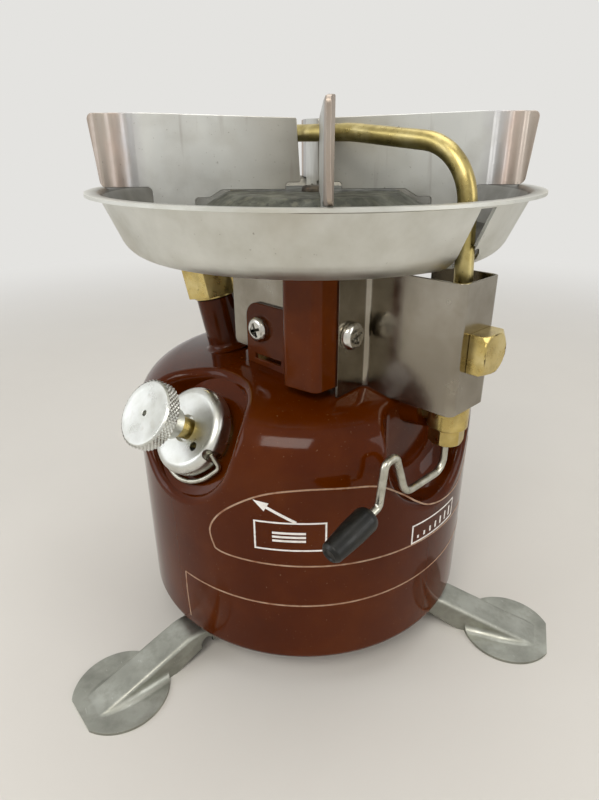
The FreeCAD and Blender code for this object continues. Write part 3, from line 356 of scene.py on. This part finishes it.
def sootedSteel(name, shades, bloom):
    # burner parts that work red hot: dark scale, a lighter bloom in patches and dull soot
    material, tree, shader = startMaterial(name, {"Metallic": 0.55})
    point = surfacePoint(tree)
    mottle(tree, shader, point, 7, shades)
    stain(tree, shader, patches(tree, point, 3, 0.55, 0.7, 0.6), bloom)
    stain(tree, shader, patches(tree, point, 1.2, 0.6, 0.68, 0.5), "#1b1916")
    unevenGloss(tree, shader, point, 4, 0.45, 0.75)
    relief(tree, shader, grain(tree, point, 0.8, 6.0), 0.03)
    return material


def agedBrass(name, shades, patina, roughest):
    # brass that has gone olive in the air, brighter where hands and spanners rub it
    material, tree, shader = startMaterial(name, {"Metallic": 1.0})
    point = surfacePoint(tree)
    mottle(tree, shader, point, 6, shades)
    stain(tree, shader, patches(tree, point, 9, 0.5, 0.66, 0.75), patina)
    stain(tree, shader, patches(tree, point, 0.9, 0.67, 0.73, 0.5), "#4c3d1c")  # pits of verdigris and soot
    unevenGloss(tree, shader, point, 3, 0.24, roughest)
    relief(tree, shader, grain(tree, point, 0.4), 0.006)
    return material


def turnedAluminium(name):
    # bright turned stock: fine tool rings about the pump's axis, light handling marks
    material, tree, shader = startMaterial(name, {"Metallic": 1.0})
    point = surfacePoint(tree)
    mottle(tree, shader, point, 8, ["#c6c6be", "#d3d4ce", "#dfe0dc"])
    stain(tree, shader, patches(tree, point, 4, 0.6, 0.72, 0.35), "#aaa593")
    unevenGloss(tree, shader, point, 5, 0.24, 0.4)
    rings = axisDistance(tree, knobMiddle, pumpAxis)
    tool = addNode(tree, "ShaderNodeTexNoise", {"noise_dimensions": "1D", "Scale": 3200.0}, {"W": rings})
    relief(tree, shader, tool.outputs["Fac"], 0.008)  # tool rings drawn 0.3 mm apart, to show
    return material


def pressedAluminium(name):
    # dull pressed legs: oxidised grey skin with scuffs from being folded in and out
    material, tree, shader = startMaterial(name, {"Metallic": 1.0})
    point = surfacePoint(tree)
    mottle(tree, shader, point, 10, ["#878880", "#9b9c93", "#b2b3ab"])
    stain(tree, shader, patches(tree, point, 5, 0.56, 0.7, 0.45), "#85867d")
    stain(tree, shader, scratches(tree, 0.9, (80, 0, 35), 0.3), "#c3c4be")
    unevenGloss(tree, shader, point, 6, 0.34, 0.56)
    relief(tree, shader, grain(tree, point, 1.1), 0.012)
    return material


def rolledStainless(name):
    # bright rolled strip: near mirror with fine upright rolling lines and finger marks; its colour is
    # darkened to olive-brown as a painted reflection of the brown tank and dark surroundings
    material, tree, shader = startMaterial(name, {"Metallic": 1.0})
    point = surfacePoint(tree)
    # painted reflection: these olive-brown shades stand for the tank and dark surroundings mirrored in the
    # steel
    mottle(tree, shader, point, 18, ["#7f786b", "#8f887b", "#a19b8f"])
    stain(tree, shader, patches(tree, point, 7, 0.56, 0.7, 0.35), "#857d6c")
    unevenGloss(tree, shader, point, 9, 0.12, 0.28)
    rolling = surfacePoint(tree, stretch=(1, 1, 40))
    relief(tree, shader, grain(tree, rolling, 0.5), 0.004)
    return material


def springSteel(name, shades, smoothest, roughest):
    # drawn wire and small hardware: grey, slightly oily, rubbed bright on the outside of bends
    material, tree, shader = startMaterial(name, {"Metallic": 1.0})
    point = surfacePoint(tree)
    mottle(tree, shader, point, 3, shades)
    stain(tree, shader, patches(tree, point, 1.5, 0.62, 0.7, 0.5), "#5f5b4f")
    unevenGloss(tree, shader, point, 2, smoothest, roughest)
    relief(tree, shader, grain(tree, point, 0.3), 0.003)
    return material


def mouldedGrip(name):
    # black heat-proof moulding: half gloss, finely eroded skin, grey where it is rubbed
    material, tree, shader = startMaterial(name, {"Specular IOR Level": 0.3})
    point = surfacePoint(tree)
    mottle(tree, shader, point, 5, ["#0e0e0c", "#171714", "#22211d"])
    stain(tree, shader, patches(tree, point, 1.6, 0.66, 0.74, 0.3), "#4a4840")
    unevenGloss(tree, shader, point, 3, 0.26, 0.46)
    relief(tree, shader, grain(tree, point, 0.35), 0.015)
    return material


def oiledLeather(name):
    # cup leather kept in oil: dark tan with a fine pore
    material, tree, shader = startMaterial(name, {"Roughness": 0.5})
    point = surfacePoint(tree)
    mottle(tree, shader, point, 4, ["#4f2f17", "#6b4424", "#835a34"])
    relief(tree, shader, grain(tree, point, 0.5), 0.05)
    return material


def sealRubber(name):
    # black seal, matt with talc left in its skin
    material, tree, shader = startMaterial(name, {"Roughness": 0.7})
    point = surfacePoint(tree)
    mottle(tree, shader, point, 3, ["#121211", "#1d1d1b", "#2c2b28"])
    relief(tree, shader, grain(tree, point, 0.4), 0.01)
    return material


def screenPrint(name):
    # white ink on the enamel: thin, slightly worn through, no gloss of its own
    material, tree, shader = startMaterial(name, {"Roughness": 0.5})
    point = surfacePoint(tree)
    mottle(tree, shader, point, 2, ["#d9d5cf", "#efece8", "#f4f2ef"])
    stain(tree, shader, patches(tree, point, 0.8, 0.66, 0.74, 0.7), "#7c4a30")
    unevenGloss(tree, shader, point, 2, 0.4, 0.6)
    return material


def filmRim(name):
    # edge of a clear film on the enamel, with dust caught along it, its glint painted in as a pale line
    material, tree, shader = startMaterial(name, {"Roughness": 0.4})
    point = surfacePoint(tree)
    mottle(tree, shader, point, 3, ["#8a5a3c", "#a8866c", "#b89c84"])
    unevenGloss(tree, shader, point, 2, 0.25, 0.5)
    return material


tankEnamel = brownEnamel("stovedBrownEnamel", ["#421700", "#4b1c00", "#552402"])
bracketEnamel = brownEnamel("bracketBrownEnamel", ["#471a00", "#552300", "#642e06"])
bowlMetal = spunAluminium("spunSatinAluminium")
bladeMetal = heatTintedSteel("heatTintedSheetSteel")
burnerMetal = sootedSteel("scaledBurnerSteel", ["#2f2b26", "#4b443a", "#6a6050"], "#6e5238")
hoodMetal = sootedSteel("sootedHoodSteel", ["#33342c", "#47483d", "#5f6054"], "#706e5f")
tubeBrass = agedBrass("drawnAgedBrassTube", ["#a3935c", "#b8a76b", "#cdbf8a"], "#8b7b4c", 0.46)
fittingBrass = agedBrass("machinedBrassFittings", ["#bca560", "#ccb777", "#dac991"], "#a5915a", 0.36)
knobAluminium = turnedAluminium("turnedBrightAluminium")
legAluminium = pressedAluminium("pressedDullAluminium")
shieldSteel = rolledStainless("rolledStainlessStrip")
wireSteel = springSteel("drawnSpringSteelWire", ["#a09d90", "#b5b3a6", "#c9c7bb"], 0.26, 0.42)
screwSteel = springSteel("nickelPlatedScrews", ["#b9b5ac", "#cac7bf", "#dad8d2"], 0.14, 0.28)
hiddenSteel = springSteel("plainTurnedSteel", ["#85837b", "#96948c", "#a6a49c"], 0.3, 0.45)
gripPlastic = mouldedGrip("blackMouldedGrip")
cupLeather = oiledLeather("oiledCupLeather")
sealBlack = sealRubber("blackSealRubber")
whiteInk = screenPrint("whiteScreenPrint")
filmEdge = filmRim("clearFilmEdge")
print("stove: materials made")


# Pieces whose CAD shape is right

paint(tankEnamel, "tank_shell", "tank_base", "filler_neck", "valve_bung")
paint(bowlMetal, "burner_bowl")
paint(burnerMetal, "burner_base", "burner_ring_1", "burner_ring_2", "burner_ring_3", "burner_ring_4",
      "mixing_tube")
paint(hoodMetal, "burner_cap")
paint(tubeBrass, "generator_tube", "pickup_tube")
paint(fittingBrass, "pump_barrel", "pump_rod", "piston_washer", "check_valve", "air_stem",
      "valve_spindle", "metering_pin", "jet")
paint(hiddenSteel, "check_ball", "leg_rivets")
paint(knobAluminium, "pump_cap")
paint(wireSteel, "lever_wire")
paint(gripPlastic, "lever_grip")
paint(cupLeather, "pump_cup")
paint(sealBlack, "filler_gasket", "gland_packing")

dress("filler_cap", fittingBrass, 0.2)
dress("valve_body", fittingBrass, 0.12)
dress("valve_plug", fittingBrass, 0.22)
dress("gland_nut", fittingBrass, 0.15)
dress("generator_nut", fittingBrass, 0.15)
dress("jet_nut", fittingBrass, 0.15)
dress("heat_shield", shieldSteel, 0.12)
dress("tank_bracket", bracketEnamel, 0.22)
dress("burner_leg", shieldSteel, 0.15)
dress("bracket_screws", screwSteel, 0.06)
dress("burner_screws", screwSteel, 0.1)
dress("cap_screw", burnerMetal, 0.1)
dress("blade_clips", bladeMetal, 0.1)
for leg in ("leg_left", "leg_right", "leg_rear"):
    dress(leg, legAluminium, 0.05)
print("stove: CAD nodes dressed")


# Wire clip of the pump: its sprung loop ends behind the cap

clipShape = {"loopEnd": 0.5}  # how far above the pump's axis the loop may reach


def pumpClip():
    work = cadCopy("pump_clip")
    upward = (Vector((0, 0, 1)) - pumpAxis * pumpAxis.z).normalized()
    everything = work.verts[:] + work.edges[:] + work.faces[:]
    bmesh.ops.bisect_plane(work, geom=everything, plane_co=knobMiddle + upward * clipShape["loopEnd"],
                           plane_no=upward, clear_outer=True)
    bmesh.ops.holes_fill(work, edges=[edge for edge in work.edges if edge.is_boundary])
    bmesh.ops.recalc_face_normals(work, faces=work.faces)
    finishPiece("pump_clip_wire", work, wireSteel, cadNodes["pump_clip"]["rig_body"],
                replaced=["pump_clip"])


pumpClip()


# Pan supports: sheet blades, fluted across their outer ends

bladeShape = {
    # azimuth of each blade, and how far it stands to the side of the burner's axis
    "lines": {"blade_1": (4.1, 0.0), "blade_2": (97.4, -2.3),
              "blade_3": (184.1, 0.0), "blade_4": (-87.2, 2.0)},
    "flutesFrom": 51.8, "flutePitch": 4.3, "flutes": 3, "fluteDepth": 0.8, "step": 0.43, "edge": 0.18,
}


def fluteOffset(reach):
    turn = (reach - bladeShape["flutesFrom"]) / bladeShape["flutePitch"]
    if not 0 < turn < bladeShape["flutes"]:
        return 0.0
    return bladeShape["fluteDepth"] * (0.5 - 0.5 * math.cos(2 * math.pi * turn))


def panSupport(node):
    # turned so that the blade stands out along X, its sheet in the middle
    azimuth, sideways = bladeShape["lines"][node]
    base = burnerCentre + polar(sideways, azimuth + 90)
    intoBlade = Matrix.Rotation(-math.radians(azimuth), 4, "Z") @ Matrix.Translation(-base)
    work = cadCopy(node)
    bmesh.ops.transform(work, matrix=intoBlade, verts=work.verts)
    cuts = int(bladeShape["flutes"] * bladeShape["flutePitch"] / bladeShape["step"])
    for i in range(cuts + 1):
        reach = bladeShape["flutesFrom"] + i * bladeShape["step"]
        everything = work.verts[:] + work.edges[:] + work.faces[:]
        bmesh.ops.bisect_plane(work, geom=everything, plane_co=(reach, 0, 0), plane_no=(1, 0, 0), dist=1e-4)
    for vertex in work.verts:
        vertex.co.y += fluteOffset(vertex.co.x)
    bmesh.ops.transform(work, matrix=intoBlade.inverted(), verts=work.verts)
    finishPiece(node + "_fluted", work, bladeMetal, cadNodes[node]["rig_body"],
                bladeShape["edge"], [node])


for node in bladeShape["lines"]:
    panSupport(node)
print("stove: pan supports fluted")


# Pump knob: turned disc with a diamond knurl grown along its rim by Geometry Nodes

knobShape = {"radius": 9.35, "thickness": 4.4, "chamfer": 0.5, "hole": 0.8, "holeDepth": 2.0, "dish": 0.15,
             "dishInner": 0.72, "dishOuter": 0.76, "edge": 0.12,
             "hubFront": 5.2, "hubBack": 4.5, "hubLength": 6.5, "studsAround": 44, "rows": 6,
             "studWidth": 0.62, "studHeight": 0.42}


def knurlTree():
    tree = bpy.data.node_groups.new("diamondKnurl", "GeometryNodeTree")
    for name, kind in (("Radius", "NodeSocketFloat"), ("Studs Around", "NodeSocketInt"),
                       ("Rows", "NodeSocketInt"), ("Row Spacing", "NodeSocketFloat"),
                       ("Stud Width", "NodeSocketFloat"), ("Stud Height", "NodeSocketFloat"),
                       ("Material", "NodeSocketMaterial")):
        tree.interface.new_socket(name, in_out="INPUT", socket_type=kind)
    tree.interface.new_socket("Geometry", in_out="OUTPUT", socket_type="NodeSocketGeometry")
    given = addNode(tree, "NodeGroupInput").outputs
    circle = addNode(tree, "GeometryNodeMeshCircle", {},
                     {"Vertices": given["Studs Around"], "Radius": given["Radius"]})
    stud = addNode(tree, "GeometryNodeMeshCone", {"fill_type": "NONE", "Vertices": 4, "Radius Top": 0.0001},
                   {"Radius Bottom": given["Stud Width"], "Depth": given["Stud Height"]})
    place = addNode(tree, "GeometryNodeInputPosition").outputs[0]
    outward = addNode(tree, "FunctionNodeAlignRotationToVector", {"axis": "Z"}, {"Vector": place})
    row = addNode(tree, "GeometryNodeInstanceOnPoints", {},
                  {"Points": circle.outputs["Mesh"], "Instance": stud.outputs["Mesh"],
                   "Rotation": outward.outputs["Rotation"]})
    step = addNode(tree, "ShaderNodeCombineXYZ", {}, {"Z": given["Row Spacing"]})
    line = addNode(tree, "GeometryNodeMeshLine", {}, {"Count": given["Rows"], "Offset": step.outputs[0]})
    number = addNode(tree, "GeometryNodeInputIndex").outputs[0]
    odd = addNode(tree, "ShaderNodeMath", {"operation": "MODULO", 1: 2.0}, {0: number})
    halfPitch = addNode(tree, "ShaderNodeMath", {"operation": "DIVIDE", 0: math.pi},
                        {1: given["Studs Around"]})
    shift = addNode(tree, "ShaderNodeMath", {"operation": "MULTIPLY"},
                    {0: odd.outputs[0], 1: halfPitch.outputs[0]})
    turn = addNode(tree, "ShaderNodeCombineXYZ", {}, {"Z": shift.outputs[0]})
    rows = addNode(tree, "GeometryNodeInstanceOnPoints", {},
                   {"Points": line.outputs["Mesh"], "Instance": row.outputs["Instances"],
                    "Rotation": turn.outputs[0]})
    real = addNode(tree, "GeometryNodeRealizeInstances", {}, {"Geometry": rows.outputs["Instances"]})
    finished = addNode(tree, "GeometryNodeSetMaterial", {},
                       {"Geometry": real.outputs[0], "Material": given["Material"]})
    addNode(tree, "NodeGroupOutput", {}, {"Geometry": finished.outputs[0]})
    return tree


def grown(tree, values):
    # plain mesh that a tree makes from its inputs
    host = bpy.data.objects.new(tree.name, bpy.data.meshes.new(tree.name))
    bpy.context.scene.collection.objects.link(host)
    modifier = host.modifiers.new("grow", "NODES")
    modifier.node_group = tree
    for item in tree.interface.items_tree:
        if item.in_out == "INPUT":
            modifier[item.identifier] = values[item.name]
    mesh = bpy.data.meshes.new_from_object(host.evaluated_get(bpy.context.evaluated_depsgraph_get()))
    host.modifiers.remove(modifier)
    bpy.data.objects.remove(host)
    return mesh


def pumpKnob():
    shape = knobShape
    front, chamfer = shape["thickness"], shape["chamfer"]
    work = spun([
        (0, front - shape["holeDepth"]), (shape["hole"], front - shape["holeDepth"]),
        (shape["hole"], front - shape["dish"]),
        (shape["radius"] * shape["dishInner"], front - shape["dish"]),
        (shape["radius"] * shape["dishOuter"], front),
        (shape["radius"] - chamfer, front), (shape["radius"], front - chamfer),
        (shape["radius"], chamfer), (shape["radius"] - chamfer, 0), (shape["hubFront"], 0),
        (shape["hubBack"], -shape["hubLength"]), (0, -shape["hubLength"]),
    ])
    spacing = (shape["thickness"] - 2 * chamfer) / shape["rows"]
    knurl = grown(knurlTree(), {
        "Radius": shape["radius"] + shape["studHeight"] * 0.05, "Studs Around": shape["studsAround"],
        "Rows": shape["rows"], "Row Spacing": spacing, "Stud Width": shape["studWidth"],
        "Stud Height": shape["studHeight"], "Material": knobAluminium,
    })
    knurl.transform(Matrix.Translation((0, 0, chamfer + spacing / 2)))
    work.from_mesh(knurl)
    backOfDisc = max((Vector(v.co) / mm).dot(pumpAxis) for v in cadNodes["pump_knob"].data.vertices)
    base = knobMiddle + pumpAxis * (backOfDisc - shape["thickness"] - knobMiddle.dot(pumpAxis))
    bmesh.ops.transform(work, matrix=frameOn(base, pumpAxis), verts=work.verts)
    finishPiece("pump_knob_knurled", work, knobAluminium, "pump_knob",
                shape["edge"], ["pump_knob"])


pumpKnob()
print("stove: pump knob knurled")


# Braze fillet around the foot of the filler neck

neckShape = {"radius": 6.15, "filletOut": 2.2, "filletUp": 1.8, "sink": 0.25, "underTop": 1.3}


def neckFillet():
    shape = neckShape
    neckTop = nodeMiddle("filler_gasket")
    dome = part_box("tank_shell")[1].z / mm - shape["underTop"]
    # down the neck's axis to the level of the dome
    foot = neckTop - fillerAxis * ((neckTop.z - dome) / fillerAxis.z)
    arc = [math.radians(15 * i) for i in range(7)]
    profile = [(shape["radius"] + shape["filletOut"] * (1 - math.sin(a)),
                shape["filletUp"] * (1 - math.cos(a))) for a in arc]
    profile += [(shape["radius"] - 0.1, shape["filletUp"]), (shape["radius"] - 0.1, -shape["sink"]),
                (shape["radius"] + shape["filletOut"], -shape["sink"])]
    work = spun(profile)
    bmesh.ops.transform(work, matrix=frameOn(foot, fillerAxis), verts=work.verts)
    finishPiece("neck_braze", work, tankEnamel, "stove", crease=60)


neckFillet()


# Printed marks and film edges on the tank's wall, generic, laid out flat and wrapped round it

marks = {
    "lift": 0.05, "wrapStep": 1.2, "line": 0.5,
    "pumpBox": (-101.3, -80.6, 53.6, 63.2), "pumpBars": (-96.0, -86.5, 57.0, 59.6),
    "arrowTail": (-89.2, 63.2), "arrowTip": (-101.2, 69.7), "arrowWidth": 0.85,
    "headLength": 4.2, "headWidth": 3.0, "barWidth": 0.7,
    "flameBox": (-53.0, -30.8, 48.3, 55.0), "flameTicks": 7,
}


def along(azimuth):
    # distance around the tank's wall
    return math.radians(azimuth) * tankRadius


def bar(work, start, end, width):
    # flat strip between two points of the laid-out wall
    start, end = Vector(start), Vector(end)
    run = (end - start).normalized()
    side = Vector((-run.y, run.x)) * width / 2
    corners = [start - side, end - side, end + side, start + side]
    work.faces.new([work.verts.new((p.x, p.y, 0)) for p in corners])


def outlineBox(work, left, right, bottom, top, line):
    outer = [(left, bottom), (right, bottom), (right, top), (left, top)]
    inner = [(left + line, bottom + line), (right - line, bottom + line), (right - line, top - line),
             (left + line, top - line)]
    rings = [[work.verts.new((x, y, 0)) for x, y in loop] for loop in (outer, inner)]
    for i in range(4):
        k = (i + 1) % 4
        work.faces.new([rings[0][i], rings[0][k], rings[1][k], rings[1][i]])


def wrapOnWall(work, lift):
    # cuts a flat layout fine enough to bend, gives it thickness and wraps it round the wall
    lows = min(v.co.x for v in work.verts)
    highs = max(v.co.x for v in work.verts)
    for i in range(1, int((highs - lows) / marks["wrapStep"]) + 1):
        everything = work.verts[:] + work.edges[:] + work.faces[:]
        bmesh.ops.bisect_plane(work, geom=everything, plane_co=(lows + i * marks["wrapStep"], 0, 0),
                               plane_no=(1, 0, 0), dist=1e-5)
    raised = bmesh.ops.extrude_face_region(work, geom=work.faces[:], use_keep_orig=True)
    for item in raised["geom"]:
        if isinstance(item, bmesh.types.BMVert):
            item.co.z = lift
    for vertex in work.verts:
        vertex.co = polar(tankRadius + vertex.co.z, math.degrees(vertex.co.x / tankRadius), vertex.co.y)


def printedMarks():
    work = bmesh.new()
    line = marks["line"]
    left, right, bottom, top = marks["pumpBox"]
    outlineBox(work, along(left), along(right), bottom, top, line)
    left, right, bottom, top = marks["pumpBars"]
    for i in range(3):
        height = bottom + (top - bottom) * i / 2
        bar(work, (along(left), height), (along(right), height), marks["barWidth"])
    tail = Vector((along(marks["arrowTail"][0]), marks["arrowTail"][1]))
    tip = Vector((along(marks["arrowTip"][0]), marks["arrowTip"][1]))
    run = (tip - tail).normalized()
    neck = tip - run * marks["headLength"]
    bar(work, tail, neck + run * 0.2, marks["arrowWidth"])
    side = Vector((-run.y, run.x)) * marks["headWidth"] / 2
    work.faces.new([work.verts.new((p.x, p.y, 0)) for p in (neck - side, tip, neck + side)])
    left, right, bottom, top = marks["flameBox"]
    outlineBox(work, along(left), along(right), bottom, top, line)
    for i in range(marks["flameTicks"]):
        share = (i + 1) / (marks["flameTicks"] + 1)
        place = along(left) + (along(right) - along(left)) * share
        bar(work, (place, bottom + 1.4), (place, bottom + 2.0 + (top - bottom - 3.4) * share),
            marks["barWidth"])
    wrapOnWall(work, marks["lift"])
    finishPiece("printed_marks", work, whiteInk, "stove", crease=50)


# edges of the clear film, as azimuths in degrees and heights
filmShape = {"halfWidth": 0.24, "lift": 0.06}
filmPaths = {
    "upperTop": [(-114.3, 50.0), (-115.6, 56.6), (-110.4, 64.0), (-99.5, 71.0), (-88.0, 73.6), (-75.0, 73.6),
                 (-66.0, 72.4), (-58.2, 67.9), (-52.1, 63.3), (-46.4, 60.0), (-38.0, 58.2), (-28.0, 58.6),
                 (-21.0, 63.0), (-16.5, 70.0)],
    "upperBottom": [(-114.3, 50.0), (-108.0, 48.9), (-82.0, 48.3), (-50.0, 48.0), (-20.0, 47.0)],
    "lowerTop": [(-128.3, 34.6), (-100.0, 33.9), (-70.0, 34.0), (-40.0, 35.2), (-14.0, 36.4)],
    "lowerSide": [(-128.3, 34.6), (-128.5, 26.0), (-128.0, 16.5)],
}


def smoothed(points, steps=8):
    # curve through the points
    ends = [points[0]] + points + [points[-1]]
    found = []
    for a, b, c, d in zip(ends, ends[1:], ends[2:], ends[3:]):
        for i in range(steps):
            t = i / steps
            found.append(tuple(0.5 * (2 * q + (r - p) * t + (2 * p - 5 * q + 4 * r - s) * t * t
                                      + (3 * q - p - 3 * r + s) * t ** 3) for p, q, r, s in zip(a, b, c, d)))
    return found + [points[-1]]


def filmEdges():
    work = bmesh.new()
    for points in filmPaths.values():
        path = [Vector((along(azimuth), height)) for azimuth, height in smoothed(points)]
        pairs = []
        for i, point in enumerate(path):
            run = (path[min(i + 1, len(path) - 1)] - path[max(i - 1, 0)]).normalized()
            side = Vector((-run.y, run.x)) * filmShape["halfWidth"]
            pairs.append([work.verts.new((p.x, p.y, 0)) for p in (point - side, point + side)])
        for near, far in zip(pairs, pairs[1:]):
            work.faces.new([near[0], far[0], far[1], near[1]])
    wrapOnWall(work, filmShape["lift"])
    finishPiece("film_edges", work, filmEdge, "stove", crease=50)


printedMarks()
filmEdges()
print("stove: marks wrapped on the tank")


# Studio: pale round sweep, soft lamps, camera

studio = {
    "floorRadius": 900, "sweepRadius": 500, "wallHeight": 1500, "floorShade": "#d8d5cf",
    "wallShade": "#e4e3e0", "wallFrom": 0.25, "wallFull": 0.75,
    "skyShade": "#e4e3e0", "skySeen": 1.0, "skyLight": 0.42,
    "camera": (9.9, -182.3, 156.6), "yaw": -3.627, "pitch": -24.264, "roll": -0.371, "lens": 25.57,
}
# name: place and target in millimetres, width, height, power in watts, colour
lamps = {
    "keySoftbox": ((-120, -620, 720), (0, 0, 80), 420, 300, 3.4, "#fffaf2"),
    "leftSoftbox": ((-720, -260, 420), (0, 0, 80), 420, 520, 1.9, "#f4f8ff"),
    "rightSoftbox": ((680, -330, 380), (0, 0, 80), 360, 480, 1.5, "#ffffff"),
    "topSoftbox": ((60, 160, 900), (0, 0, 100), 620, 620, 2.6, "#ffffff"),
}


def rayIsSeen(tree):
    # 1 for what the camera sees directly, mirrored or through something clear
    ray = addNode(tree, "ShaderNodeLightPath").outputs
    seen = addNode(tree, "ShaderNodeMath", {"operation": "MAXIMUM"},
                   {0: ray["Is Camera Ray"], 1: ray["Is Glossy Ray"]})
    return addNode(tree, "ShaderNodeMath", {"operation": "MAXIMUM"},
                   {0: seen.outputs[0], 1: ray["Is Transmission Ray"]}).outputs[0]


def paleSweep():
    # floor that curves up into a wall all round, so every side has the same background
    bend = [math.radians(9 * i) for i in range(11)]
    profile = [(0, 0)] + [(studio["floorRadius"] + studio["sweepRadius"] * math.sin(a),
                           studio["sweepRadius"] * (1 - math.cos(a))) for a in bend]
    profile.append((profile[-1][0], studio["wallHeight"]))
    work = bmesh.new()
    rings = [[work.verts.new(polar(radius, 5 * i, height)) for i in range(72)]
             for radius, height in profile[1:]]
    work.faces.new(rings[0])
    for low, high in zip(rings, rings[1:]):
        for i in range(72):
            work.faces.new([low[i], high[i], high[i - 1], low[i - 1]])
    bmesh.ops.recalc_face_normals(work, faces=work.faces)
    bmesh.ops.scale(work, vec=(mm, mm, mm), verts=work.verts)
    mesh = bpy.data.meshes.new("paleSweep")
    work.to_mesh(mesh)
    work.free()
    mesh.shade_smooth()
    material, tree, shader = startMaterial("palePaperSweep", {"Roughness": 0.75, "Specular IOR Level": 0.2})
    mottle(tree, shader, surfacePoint(tree), 60, [studio["floorShade"], "#dad7d1"])
    # away from the stove the paper shows its own pale shade, to the camera and in bright metal
    away = addNode(tree, "ShaderNodeMapRange",
                   {"interpolation_type": "SMOOTHSTEP", "From Min": studio["wallFrom"],
                    "From Max": studio["wallFull"]},
                   {"Value": axisDistance(tree, (0, 0, 0), (0, 0, 1))})
    shown = addNode(tree, "ShaderNodeMath", {"operation": "MULTIPLY"},
                    {0: away.outputs["Result"], 1: rayIsSeen(tree)})
    glow = addNode(tree, "ShaderNodeEmission", {"Color": hexColour(studio["wallShade"])})
    mix = addNode(tree, "ShaderNodeMixShader", {},
                  {0: shown.outputs[0], 1: shader.outputs[0], 2: glow.outputs[0]})
    tree.links.new(mix.outputs[0], tree.nodes["Material Output"].inputs["Surface"])
    mesh.materials.append(material)
    sweep = bpy.data.objects.new("paleSweep", mesh)
    bpy.context.scene.collection.objects.link(sweep)


def softSky():
    world = bpy.data.worlds.new("softSky")
    bpy.context.scene.world = world
    world.use_nodes = True
    tree = world.node_tree
    tree.nodes.clear()
    lighting = addNode(tree, "ShaderNodeBackground", {"Color": hexColour("#ffffff"),
                                                      "Strength": studio["skyLight"]})
    shown = addNode(tree, "ShaderNodeBackground", {"Color": hexColour(studio["skyShade"]),
                                                   "Strength": studio["skySeen"]})
    mix = addNode(tree, "ShaderNodeMixShader", {},
                  {0: rayIsSeen(tree), 1: lighting.outputs[0], 2: shown.outputs[0]})
    addNode(tree, "ShaderNodeOutputWorld", {}, {"Surface": mix.outputs[0]})


def addLamps():
    for name, (place, target, width, height, power, shade) in lamps.items():
        light = bpy.data.lights.new(name, "AREA")
        light.shape = "RECTANGLE"
        light.size, light.size_y = width * mm, height * mm
        light.energy = power
        light.color = hexColour(shade)[:3]
        lamp = bpy.data.objects.new(name, light)
        aim = (Vector(target) - Vector(place)).to_track_quat("-Z", "Y")
        lamp.matrix_world = Matrix.Translation(Vector(place) * mm) @ aim.to_matrix().to_4x4()
        bpy.context.scene.collection.objects.link(lamp)


def addCamera():
    yaw, pitch, roll = (math.radians(studio[key]) for key in ("yaw", "pitch", "roll"))
    forward = Vector((math.sin(yaw) * math.cos(pitch), math.cos(yaw) * math.cos(pitch), math.sin(pitch)))
    level = Vector((math.cos(yaw), -math.sin(yaw), 0))
    upright = level.cross(forward)
    right = level * math.cos(roll) + upright * math.sin(roll)
    up = upright * math.cos(roll) - level * math.sin(roll)
    data = bpy.data.cameras.new("viewer")
    data.lens = studio["lens"]
    data.sensor_width = 36.0
    data.clip_start = 0.01
    viewer = bpy.data.objects.new("viewer", data)
    turn = Matrix((right, up, -forward)).transposed().to_4x4()
    viewer.matrix_world = Matrix.Translation(Vector(studio["camera"]) * mm) @ turn
    bpy.context.scene.collection.objects.link(viewer)
    bpy.context.scene.camera = viewer


paleSweep()
softSky()
addLamps()
addCamera()
bpy.context.scene.view_settings.view_transform = "Standard"
print("stove: studio set")
